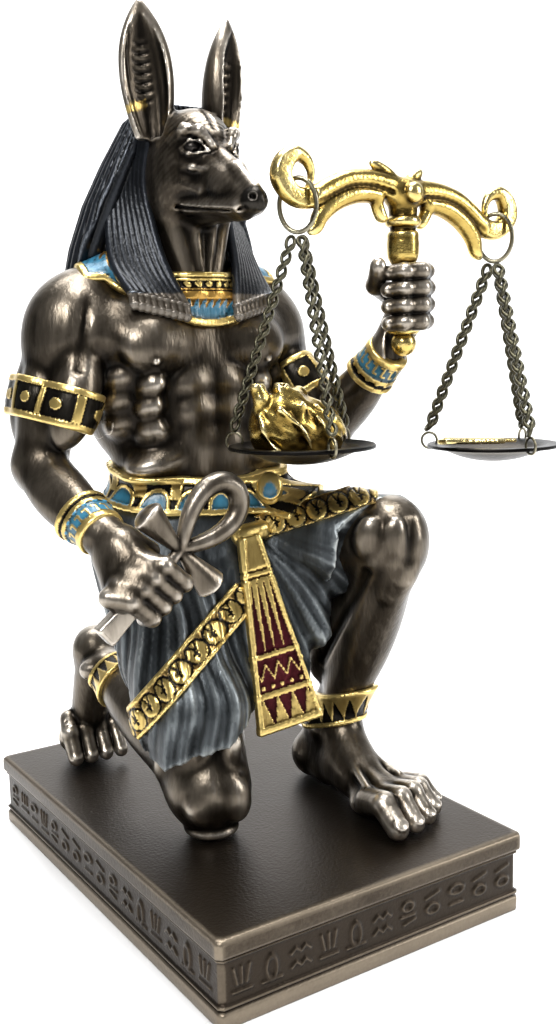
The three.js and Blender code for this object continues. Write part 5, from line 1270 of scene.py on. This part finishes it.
def sash_masks(p):
    down, _, across = axes(SASH_END - SASH_TOP, SASH_FACE)
    length = np.linalg.norm(SASH_END - SASH_TOP)
    t = (p - SASH_TOP) @ down
    half = 3.2 + 7.4 * np.clip(t / length, 0, 1)
    w = -((p - SASH_TOP) @ across)
    q = w / half
    border = (np.abs(w) > half - 1.25) | (t > length - 2.2)
    long_field = (t > 14) & (t < 35)
    wide = 0.46 * np.clip((t - 13.5) / 21, 0, 1) ** 0.8 + 0.02
    spikes = long_field & (np.abs(cells(q * 2.4 + 0.5, 1)[0]) < wide)
    mid_field = (t > 36.4) & (t < 46.4)
    zig = mid_field & (np.abs(t - 40.4 - 2.2 * (np.abs(cells(w, 4.2)[0]) / 1.05 - 1)) < 0.45)
    dots = mid_field & (np.hypot(cells(w, 3.2)[0], t - 45) < 0.6)
    low_field = (t > 48.2) & (t < length - 2.2)
    tri = low_field & (np.abs(cells(w, 5.0)[0]) > 2.3 * np.clip((length - 1 - t) / 9, 0, 1))
    lines = (np.abs(t - 10.4) < 0.35) | (np.abs(t - 12.4) < 0.35)
    return border, spikes, mid_field, zig | dots, low_field, tri, lines


def sash_paint(p, n):
    border, spikes, mid_field, marks, low_field, tri, lines = sash_masks(p)
    return choose(p, GOLD, (spikes, MAROON), (mid_field | low_field, MAROON),
                  (marks | tri, GOLD), (lines, DARK_GOLD), (border, GOLD))


def sash_relief(p, n):
    border, spikes, mid_field, marks, low_field, tri, lines = sash_masks(p)
    sunk = spikes | ((mid_field | low_field) & ~(marks | tri))
    return np.where(border, 0.35, 0) - np.where(sunk, 0.2, 0) - np.where(lines, 0.3, 0)


# The sculpted pieces of the figure

def beyond(band, side):
    """Positive past the band's middle plane, on the far side of an arm."""
    c, w = vec(band[0]), unit(band[1])
    return lambda x, y, z: ((x - c[0]) * w[0] + (y - c[1]) * w[1] + (z - c[2]) * w[2]) * side


FIG = ["figure"]
arm_r, arm_l = BANDS["armlet_right"], BANDS["armlet_left"]
cut_r, cut_l = beyond(arm_r, 1), beyond(arm_l, 1)


def grip_holes(c):
    bx, by = COLUMN
    c.carve(limb((bx, by, 150), 3.7, (bx, by, 215), 3.7))
    c.carve(limb((bx, by, 194.9), 5.3, (bx, by, 215), 5.3))
    c.carve(limb((bx, by, 150), 5.5, (bx, by, 167.9), 5.5))


def ears(c):
    for one in EARS:
        ear(c, *one)


def head_paint(p, n):
    """Painted shade over the eyes and their sockets, a dark nose, and the gold cuffs round the feet of the
    ears.
    """
    pad = (np.hypot(p[:, 1] + 30.4, p[:, 2] - 206.6) < 3.4) & (p[:, 1] < -27.6)
    # the eyes and their sockets are painted near-black as shade
    eye_ = np.zeros(len(p), bool)
    for s in (RIGHT, LEFT):
        c = vec(face(s, 7.4, -8.2, 223.1))
        eye_ |= (np.linalg.norm((p - c) / (2.4, 3.4, 1.7), axis=1) < 1)
    cuff = np.zeros(len(p), bool)
    for foot, tip, *_ in EARS:
        t = (p - vec(foot)) @ unit(vec(tip) - vec(foot))
        outer = (p - vec(foot)) @ unit((math.copysign(1, foot[0] + 6), 0.2, 0))
        cuff |= (np.abs(t - 6.6 + 0.35 * outer) < 1.3) & (outer > 0.8)
    return choose(p, BARE, (pad, DARK), (eye_, EYE_SOCKET_SHADE), (cuff, GOLD))


def fur(p, n):
    """Short streaks that run back over the face, deeper about the brow."""
    x, y, z = p[:, 0], p[:, 1], p[:, 2]
    lie = z * 0.9 + np.abs(x + 6) * 0.5 + 0.3 * y
    a = np.sin(lie * 3.1 + 1.6 * np.sin(y * 0.55 + x * 0.4) + y * 0.4)
    a = a * np.sin(y * 0.9 + z * 0.5 + 1.3 * np.sin(z * 0.7))
    b = np.sin(x * 2.3 + z * 1.2) * np.sin(y * 1.9 - z * 1.4)
    here = np.clip((z - 202) / 4, 0, 1) * np.clip((12 - y) / 6, 0, 1) * np.clip((236 - z) / 4, 0, 1)
    brow = np.clip(1 - np.hypot(y + 4, z - 229) / 9, 0, 1)
    nose = np.hypot(y + 30, z - 206.5) < 3.6
    return np.where(nose, 0, here * (0.028 * a + 0.075 * brow * (a + 0.8 * b)))


def make_skin():
    c = skin(Clay((-30, -35, 184), (18, 24, 268), 0.42))
    c.keep(lambda x, y, z: np.minimum(197 - z, np.abs(x + 5) - 13.5) + 0 * y)
    ears(c)
    bronze("head", c, paint=head_paint, relief=fur)

    c = skin(Clay((-64, -14, 108), (52, 54, 198), 0.6))
    c.keep(lambda x, y, z: np.minimum(cut_r(x, y, z), np.maximum(-37.2 - x, z - 158)))
    c.keep(lambda x, y, z: np.minimum(cut_l(x, y, z), x - 26.5))
    c.keep(lambda x, y, z: np.minimum(z - 189, 13 - np.abs(x + 5)) + 0 * y)
    bronze("torso_and_upper_arms", c)

    c = skin(Clay((-64, -37, 90), (-16, 34, 160), 0.42))
    c.keep(lambda x, y, z: np.maximum(-cut_r(x, y, z), x + 34.0 - 40 * (y < -14)))
    right_hand(c)
    bronze("right_forearm_and_hand", c)
    c = Clay((-64, -33, 84), (-4, -18, 140), 0.38)
    ankh(c)
    bronze("looped_cross", c)

    c = Clay((26, -42, 126), (62, 22, 198), 0.42)
    left_arm(c)
    left_hand(c)
    c.keep(lambda x, y, z: np.minimum(-cut_l(x, y, z), y + 12))
    grip_holes(c)
    bronze("left_forearm_and_fist", c)

    c = Clay((10, -67, 22), (50, 12, 126), 0.5)
    left_leg(c)
    c.keep(lambda x, y, z: np.maximum(GROUND - z, np.minimum(y + 22, z - 92) + 0 * x))
    bronze("left_leg_and_foot", c)
    c = Clay((-44, -44, 22), (-6, 76, 84), 0.5)
    right_leg(c)
    c.keep(lambda x, y, z: np.maximum(GROUND - z, z - 80) + 0 * x * y)
    bronze("right_leg_and_foot", c)


def make_dress():
    c = Clay((-42, -4, 164), (32, 56, 242), 0.46)
    mane(c)
    cast("hair", c, HAIR, "cold_cast_bronze", FIG)
    c = Clay((-34, -8, 170), (24, 26, 236), 0.36)
    lappets(c)
    cast("hair_on_the_chest", c, HAIR, "cold_cast_bronze", FIG, paint=hair_paint)
    c = Clay((-42, -14, 168), (32, 46, 200), 0.38)
    trunk(c)
    neck(c)
    collar_shell(c)
    bronze("collar", c, paint=collar_paint, relief=collar_relief, keep=PATTERN_KEEP)
    kilt = Clay((-46, -50, 46), (46, 54, 124), 0.6)
    cloth(kilt)
    cast("kilt", kilt, CLOTH, "cold_cast_bronze", FIG)
    limbs = {"armlet_right": right_arm, "bracelet_right": right_arm, "armlet_left": left_arm,
             "bracelet_left": left_arm, "anklet_left": left_leg, "anklet_right": right_leg}
    for name, limb_of in limbs.items():
        band = BANDS[name]
        c = Clay(vec(band[0]) - band[3] - 1, vec(band[0]) + band[3] + 1, 0.33)
        limb_of(c)
        c.band(*band)
        if name.startswith("armlet"):
            paint, relief = armlet_paint(band, 7, 0.2, -1.35 if name.endswith("right") else None)
        elif name.startswith("bracelet"):
            paint, relief = bracelet_paint(band, 14)
        else:
            paint, relief = triangles_paint(band)
        bronze(name, c, paint=paint, relief=relief, keep=PATTERN_KEEP)
    band = BANDS["belt"]
    c = Clay((-40, -22, 112), (32, 46, 137), 0.36)
    trunk(c)
    cloth(c)
    c.band(*band)
    paint, relief = belt_paint(band)
    bronze("belt", c, paint=paint, relief=relief, keep=PATTERN_KEEP)
    c = Clay((-6, -26, 114), (14, -8, 134), 0.3)
    c.join(oval(ORNAMENT, (5, 4, 1.7), (0, 0, 1), (0.836, -0.549, 0)), 0.3)
    c.join(hoop(ORNAMENT - (0.5, 0.7, 0), VIEW_BACK, 2.9, 0.5), 0.3)
    bronze("belt_ornament", c, paint=ornament_paint)
    for name, (a, b, half, reach, out) in STRIPS.items():
        m = (vec(a) + vec(b)) / 2
        c = Clay(m - reach - 1, m + reach + 1, 0.4)
        cloth(c)
        c.band(m, np.cross(vec(b) - vec(a), VIEW_BACK), half, reach, out)
        c.keep(lambda x, y, z: (x - m[0]) * 0.543 + (y - m[1]) * 0.826 - (z - m[2]) * 0.152 - 12)
        paint, relief = strip_paint(name)
        bronze(name, c, paint=paint, relief=relief, keep=PATTERN_KEEP)
    c = Clay((-12, -34, 50), (16, -8, 118), 0.36)
    c.join(bar(SASH_TOP, SASH_END, 3.2, 10.6, 1.4, SASH_FACE, 0.4), 0.4)
    bronze("sash", c, paint=sash_paint, relief=sash_relief, keep=PATTERN_KEEP)
    c = Clay((-12, -24, 98), (8, -8, 118), 0.36)
    c.join(limb((-6, -16.5, 111), 3, (1, -16.5, 112), 3), 1.5)
    c.join(limb((-4, -16, 110), 3.2, (-4, -18, 104), 2.6), 1.5)
    bronze("sash_knot", c, paint=lambda p, n: choose(p, GOLD))


def ornament_paint(p, n):
    d = p - ORNAMENT
    x = d @ vec((0.836, -0.549, 0))
    drop = np.hypot(x * (1.25 + 0.12 * d[:, 2]), d[:, 2] + 0.3) < 2.5
    return choose(p, GOLD, (drop, BLUE))


def hair_paint(p, n):
    tip = (p[:, 1] < 16) & (p[:, 2] < 182.5) & (p[:, 2] < 181.5 + 0.2 * np.abs(p[:, 0] + 5))
    return choose(p, BARE, (tip, STRAND_TIP))


# The balance and what hangs from it

def wrapped_quads(rows, columns):
    """Quads of a grid whose rows and columns both run round."""
    i, j = np.meshgrid(np.arange(rows), np.arange(columns), indexing="ij")
    i2, j2 = (i + 1) % rows, (j + 1) % columns
    corners = (i * columns + j, i2 * columns + j, i2 * columns + j2, i * columns + j2)
    return np.stack(corners, axis=-1).reshape(-1, 4)


def ring_mesh(c, u, ru, v, rv, wire, turns=48, sides=10):
    a = np.arange(turns) / turns * 2 * math.pi
    u, v = unit(u), unit(v)
    n = unit(np.cross(u, v))
    middle = vec(c) + np.outer(np.cos(a) * ru, u) + np.outer(np.sin(a) * rv, v)
    out = np.outer(np.cos(a) / ru, u) + np.outer(np.sin(a) / rv, v)
    out /= np.linalg.norm(out, axis=1)[:, None]
    b = np.arange(sides) / sides * 2 * math.pi
    turned = np.cos(b)[None, :, None] * out[:, None] + np.sin(b)[None, :, None] * n
    return (middle[:, None] + wire * turned).reshape(-1, 3), wrapped_quads(turns, sides)


def merge(meshes):
    points, quads, base = [], [], 0
    for p, q in meshes:
        points.append(p)
        quads.append(q + base)
        base += len(p)
    return np.concatenate(points), np.concatenate(quads)


def chain_mesh(a, b, pitch=2.1, wide=1.15, wire=0.56):
    a, b = vec(a), vec(b)
    length = np.linalg.norm(b - a)
    w, u, v = axes(b - a, (1, 0.3, 0))
    count = max(2, int(round(length / pitch)))
    links = []
    for i in range(count):
        c = a + w * (i + 0.5) * length / count
        turn = math.pi / 4 + (i % 2) * math.pi / 2
        across = u * math.cos(turn) + v * math.sin(turn)
        way = w + 0.45 * np.cross(w, across)
        links.append(ring_mesh(c, way, length / count * 0.95, across, wide, wire, 18, 8))
    return merge(links)


def lathe(profile, centre, steps=96):
    """Turns a closed profile of (radius, height) about the vertical through centre."""
    profile = np.array(profile, float)
    a = np.arange(steps) / steps * 2 * math.pi
    r, z = profile[:, 0], profile[:, 1]
    turned = (np.outer(np.cos(a), r), np.outer(np.sin(a), r), np.tile(z, (steps, 1)))
    points = np.stack(turned, axis=-1) + vec(centre)
    return points.reshape(-1, 3), wrapped_quads(steps, len(profile))


def make_balance():
    c = Clay((-4, -40, 160), (96, -20, 222), 0.36)
    balance(c)
    cast("balance_beam_carved", c, GILT, "gilt", ["balance_beam"])
    c = Clay(HEART_AT - (16, 12, 3), HEART_AT + (18, 12, 24), 0.36)
    heart(c)
    cast("heart_carved", c, GILT, "heart_gilt", ["heart"])
    c = Clay(FEATHER_AT - (18, 7, 4), FEATHER_AT + (20, 7, 4), 0.3)
    feather(c)
    cast("feather_carved", c, GILT, "feather_gilt", ["feather"])
    for side, s, pan in (("right", RIGHT, PAN_R), ("left", LEFT, PAN_L)):
        top = beam_point(s * 38.1, -1.8)[2]
        ring_at = vec((pan[0], COLUMN[1], top - 7.4))
        p, q = ring_mesh(ring_at, (0.64, -0.768, 0), 5.4, (0, 0, 1), 7.4, 0.7, 64, 12)
        build("top_ring_wire_" + side, p, q, RINGS, "ring_metal", ["top_ring_" + side])
        rr = np.linspace(0.3, 17.5, 12)
        inner = [(r, float(dish_top(np.array(r)))) for r in rr]
        profile = inner + [(20.6, 0.5), (21.2, 0.62), (21.5, 0.2), (21.4, -0.45)] + \
            [(r, float(dish_top(np.array(r))) - 1.0) for r in rr[::-1]]
        p, q = lathe(profile, pan)
        build("pan_dish_" + side, p, q, PANS, "pan_metal", ["pan_" + side])
        for i, deg in enumerate((-102, 18, 125)):
            a = math.radians(deg)
            out = vec((math.cos(a), math.sin(a), 0))
            middle = pan + out * (21.5 - 0.15) + (0, 0, 1.3)
            p, q = ring_mesh(middle, out, 2.6, (0, 0, 1), 2.6, 0.42, 40, 10)
            key = "%s_%d" % (side, i + 1)
            build("pan_ring_wire_" + key, p, q, RINGS, "ring_metal", ["pan_ring_" + key])
            start = ring_at + out * 2.1 - (0, 0, 7.4 + 0.7 + 1.2)
            stop = middle + (0, 0, 2.6 + 0.5 + 0.75 + 0.3)
            p, q = chain_mesh(start, stop, *((2.1, 1.15, 0.56) if s < 0 else (2.3, 1.4, 0.68)))
            build("chain_links_" + key, p, q, CHAIN, "chain_metal", ["chain_" + key])


# The plinth, with rows of shallow strokes in its band

def stroke_height(s, z):
    """Relief of the band, s mm along a side and z mm up from the band's foot; the band is 13 mm tall."""
    h = np.zeros_like(s)
    rng = np.random.default_rng(7)
    cell = 9.0
    low, high = s.min(), s.max()
    count = int((high - low) // cell)
    start = (low + high) / 2 - count * cell / 2

    def line(x0, y0, x1, y1, w=0.5):
        dx, dy = x1 - x0, y1 - y0
        t = np.clip(((s - x0) * dx + (z - y0) * dy) / (dx * dx + dy * dy), 0, 1)
        d = np.hypot(s - x0 - t * dx, z - y0 - t * dy)
        h[:] = np.maximum(h, np.clip(1.4 - d / w, 0, 1))

    def loop(x, y, rx, ry, w=0.45):
        d = np.abs(np.hypot((s - x) / rx, (z - y) / ry) - 1) * min(rx, ry)
        h[:] = np.maximum(h, np.clip(1.4 - d / w, 0, 1))

    for i in range(count):
        x = start + (i + 0.5) * cell
        kind = rng.integers(0, 9)
        if kind == 0:
            loop(x, 8.4, 2.6, 1.5)
            line(x - 2.4, 3.6, x + 2.4, 3.6)
        elif kind == 1:
            for k in range(4):
                line(x - 3 + k * 1.5, 4 + (k % 2) * 2, x - 1.5 + k * 1.5, 4 + ((k + 1) % 2) * 2)
            line(x, 8, x, 10.6)
        elif kind == 2:
            line(x - 2.4, 8.8, x + 2.4, 10.2)
            loop(x, 5, 2.2, 1.6)
        elif kind == 3:
            for k in range(3):
                line(x - 2.6 + 2 * k, 3.4, x - 0.8 + 2 * k, 7.4)
            line(x - 2.6, 9.8, x + 2.8, 9.8)
        elif kind == 4:
            for k in range(3):
                line(x - 2.2 + 2.2 * k, 6.6, x - 2.2 + 2.2 * k, 10)
            line(x - 3, 4, x + 3, 4, 0.7)
        elif kind == 5:
            loop(x, 6.4, 1.6, 3.6)
            line(x - 3, 2.6, x + 3, 2.6)
        elif kind == 6:
            for r in (3.6, 8):
                for k in range(4):
                    line(x - 3 + k * 1.5, r + (k % 2) * 1.5, x - 1.5 + k * 1.5, r + ((k + 1) % 2) * 1.5)
        elif kind == 7:
            loop(x, 8.8, 1.9, 1.5)
            line(x - 2.4, 5.6, x + 2.4, 5.6)
            line(x - 1.4, 3, x + 2.6, 4)
        else:
            line(x - 2.8, 3, x + 2.8, 3)
            for k in (-1, 0, 1):
                line(x + 1.4 * k, 5.2, x + 2.4 * k, 10.2)
    return h


PLINTH_STEP = 0.42
PLINTH_KEEP = 0.45
# Profile of the plinth, height and inset, below and above the band with the strokes
PLINTH_FOOT = ((0, 0.9), (0.5, 0.7), (3.6, 0.6), (4.2, 0.9), (4.4, 1.6), (4.9, 1.6), (5.2, 0.8), (5.7, 0.6),
               (6.0, 0.9))
PLINTH_LIP = ((17.8, 0.9), (18.1, 0.7), (18.5, 0.9), (18.65, 1.25), (18.85, 0.5), (19.2, 0.15), (19.8, 0.05),
              (22.4, 0.05), (23.2, 0.15), (23.7, 0.45), (24.0, 1.1))


def plinth_mesh():
    half_x, half_y, top_z, corner = 52.0, 76.0, 24.0, 1.2
    band_foot, band_top, band_inset = 6.2, 17.6, 1.35
    levels = [(z, inset, 0) for z, inset in PLINTH_FOOT]
    levels += [(float(z), band_inset, 1) for z in np.linspace(band_foot, band_top, 31)]
    levels += [(z, inset, 0) for z, inset in PLINTH_LIP]

    def outline(inset):
        hx, hy = half_x - inset, half_y - inset
        sides = []
        for (ax, ay), (bx, by), label in (((hx, -hy), (hx, hy), 0), ((hx, hy), (-hx, hy), 1),
                                          ((-hx, hy), (-hx, -hy), 2), ((-hx, -hy), (hx, -hy), 3)):
            length = math.hypot(bx - ax, by - ay)
            n = int((2 * (half_y if label in (0, 2) else half_x)) / PLINTH_STEP)
            t = np.linspace(corner / length, 1 - corner / length, n)
            sides.append(np.stack([ax + (bx - ax) * t, ay + (by - ay) * t], axis=1))
        return np.concatenate(sides), np.concatenate([np.full(len(q), k) for k, q in enumerate(sides)])

    rings, sides = [], None
    for z, inset, _ in levels:
        xy, sides = outline(inset)
        rings.append(np.column_stack([xy, np.full(len(xy), z)]))
    k = len(rings[0])
    points = np.array(rings)
    out = np.array([(1, 0, 0), (0, 1, 0), (-1, 0, 0), (0, -1, 0)], float)[sides]
    s = np.where(sides % 2 == 0, rings[0][:, 1], rings[0][:, 0])
    for side in range(4):
        cols = np.where(sides == side)[0]
        rows = [i for i, level in enumerate(levels) if level[2]]
        zz = np.array([levels[i][0] for i in rows]) - band_foot
        along, up = np.meshgrid(s[cols] + side * 0.001, zz * 13 / 11.4)
        h = stroke_height(along + 3.1 * side, up)
        edge = np.clip(np.minimum(np.arange(len(cols)), np.arange(len(cols))[::-1]) / 6, 0, 1)
        lift = 0.55 * h * edge[None, :]
        for a, i in enumerate(rows):
            points[i, cols] += out[cols] * lift[a][:, None]
    # the top, as rings drawn in towards the middle
    top = []
    flat = points[-1]
    for t in np.linspace(0.02, 0.96, 22):
        top.append(np.column_stack([flat[:, :2] * (1 - t), np.full(k, top_z)]))
    base = [np.column_stack([points[0][:, :2] * (1 - t), np.zeros(k)]) for t in (0.96, 0.5)]
    allp = np.concatenate([np.array(base), points, np.array(top)])
    n = len(allp)
    i, j = np.meshgrid(np.arange(n - 1), np.arange(k), indexing="ij")
    j2 = (j + 1) % k
    quads = np.stack([i * k + j, i * k + j2, (i + 1) * k + j2, (i + 1) * k + j], axis=-1).reshape(-1, 4)
    centre = np.array([(0, 0, 0), (0, 0, top_z)], float)
    m = n * k
    flat_points = np.concatenate([allp.reshape(-1, 3), centre])
    half = k // 2 * 2
    # fans of quads close the small openings at the middle
    q0 = np.array([(m, (a + 2) % k, a + 1, a) for a in range(0, half, 2)])
    e = (n - 1) * k
    q1 = np.array([(m + 1, e + a, e + a + 1, e + (a + 2) % k) for a in range(0, half, 2)])
    return flat_points, np.concatenate([quads, q0, q1])


def make_plinth():
    p, q = plinth_mesh()
    build("plinth_block", p, q, PLINTH, "plinth_bronze", ["plinth"], step=PLINTH_STEP, keep=PLINTH_KEEP)


# Making everything

make_skin()
make_dress()
make_balance()
make_plinth()


# Camera, floor and light

# The photograph's view: sensor and focal length, turns in degrees and place in metres
FRAME_PIXELS = 1024
FOCAL_PIXELS = 1089.3
SENSOR_MM = 36
CAMERA_TURNS = (-33.309, 8.758, -1.202)
CAMERA_PLACE = (-0.171912, -0.289328, 0.167)


def place_camera():
    cam = bpy.data.cameras.new("camera")
    cam.sensor_fit = "VERTICAL"
    cam.sensor_height = SENSOR_MM
    cam.lens = FOCAL_PIXELS * SENSOR_MM / FRAME_PIXELS
    cam.clip_start, cam.clip_end = 0.01, 20
    ob = bpy.data.objects.new("camera", cam)
    az, el, roll = (math.radians(a) for a in CAMERA_TURNS)
    back = Vector((math.sin(az) * math.cos(el), -math.cos(az) * math.cos(el), math.sin(el)))
    right = Vector((math.cos(az), math.sin(az), 0))
    up = back.cross(right)
    r = right * math.cos(roll) + up * math.sin(roll)
    u = back.cross(r)
    rows = [(r[i], u[i], back[i], CAMERA_PLACE[i]) for i in range(3)]
    ob.matrix_world = Matrix(rows + [(0, 0, 0, 1)])
    bpy.context.scene.collection.objects.link(ob)
    bpy.context.scene.camera = ob


def area_light(name, place, aim, size, power, colour=(1, 1, 1)):
    light = bpy.data.lights.new(name, "AREA")
    light.shape = "RECTANGLE"
    light.size, light.size_y = size
    light.energy = power
    light.color = colour
    ob = bpy.data.objects.new(name, light)
    ob.location = place
    ob.rotation_euler = (Vector(aim) - Vector(place)).to_track_quat("-Z", "Y").to_euler()
    bpy.context.scene.collection.objects.link(ob)


def studio():
    scene = bpy.context.scene
    scene.view_settings.view_transform = "Standard"
    world = bpy.data.worlds.new("studio")
    scene.world = world
    world.use_nodes = True
    bg = world.node_tree.nodes["Background"]
    bg.inputs["Color"].default_value = (0.95, 0.97, 1.0, 1)
    bg.inputs["Strength"].default_value = 0.16
    # a floor that curves up behind into a pale wall
    mesh = bpy.data.meshes.new("floor")
    n, m = 24, 40
    across = np.linspace(-2.4, 2.4, n)
    line = [(-1.6 + 2.6 * i / 19, 0.0) for i in range(20)]
    line += [(1.0 + 0.7 * math.sin(a), 0.7 - 0.7 * math.cos(a)) for a in np.linspace(0.1, math.pi / 2, 12)]
    line += [(1.7, 0.7 + 0.28 * i) for i in range(1, 9)]
    away, side = (0.549, 0.836), (0.836, -0.549)
    pts = [(d * away[0] + w * side[0], d * away[1] + w * side[1], h - 0.0001)
           for d, h in line for w in across]
    faces = [(i * n + j, i * n + j + 1, (i + 1) * n + j + 1, (i + 1) * n + j)
             for i in range(m - 1) for j in range(n - 1)]
    mesh.from_pydata(pts, [], faces)
    mesh.polygons.foreach_set("use_smooth", [True] * len(faces))
    floor = bpy.data.objects.new("floor", mesh)
    scene.collection.objects.link(floor)
    mat = bpy.data.materials.new("floor_paper")
    mat.use_nodes = True
    b = mat.node_tree.nodes["Principled BSDF"]
    b.inputs["Base Color"].default_value = (0.92, 0.92, 0.92, 1)
    b.inputs["Roughness"].default_value = 0.95
    mesh.materials.append(mat)
    area_light("key", (-0.72, -0.62, 0.95), (0, 0, 0.15), (0.42, 0.42), 13)
    area_light("side", (0.75, -0.75, 0.5), (0, 0, 0.13), (0.16, 0.6), 6)
    area_light("top", (0.05, -0.1, 1.1), (0, 0, 0.1), (0.4, 0.4), 9)
    area_light("wall", (0.3, 0.5, 1.9), (0.95, 1.45, 0.7), (1.6, 1.0), 60)


place_camera()
studio()
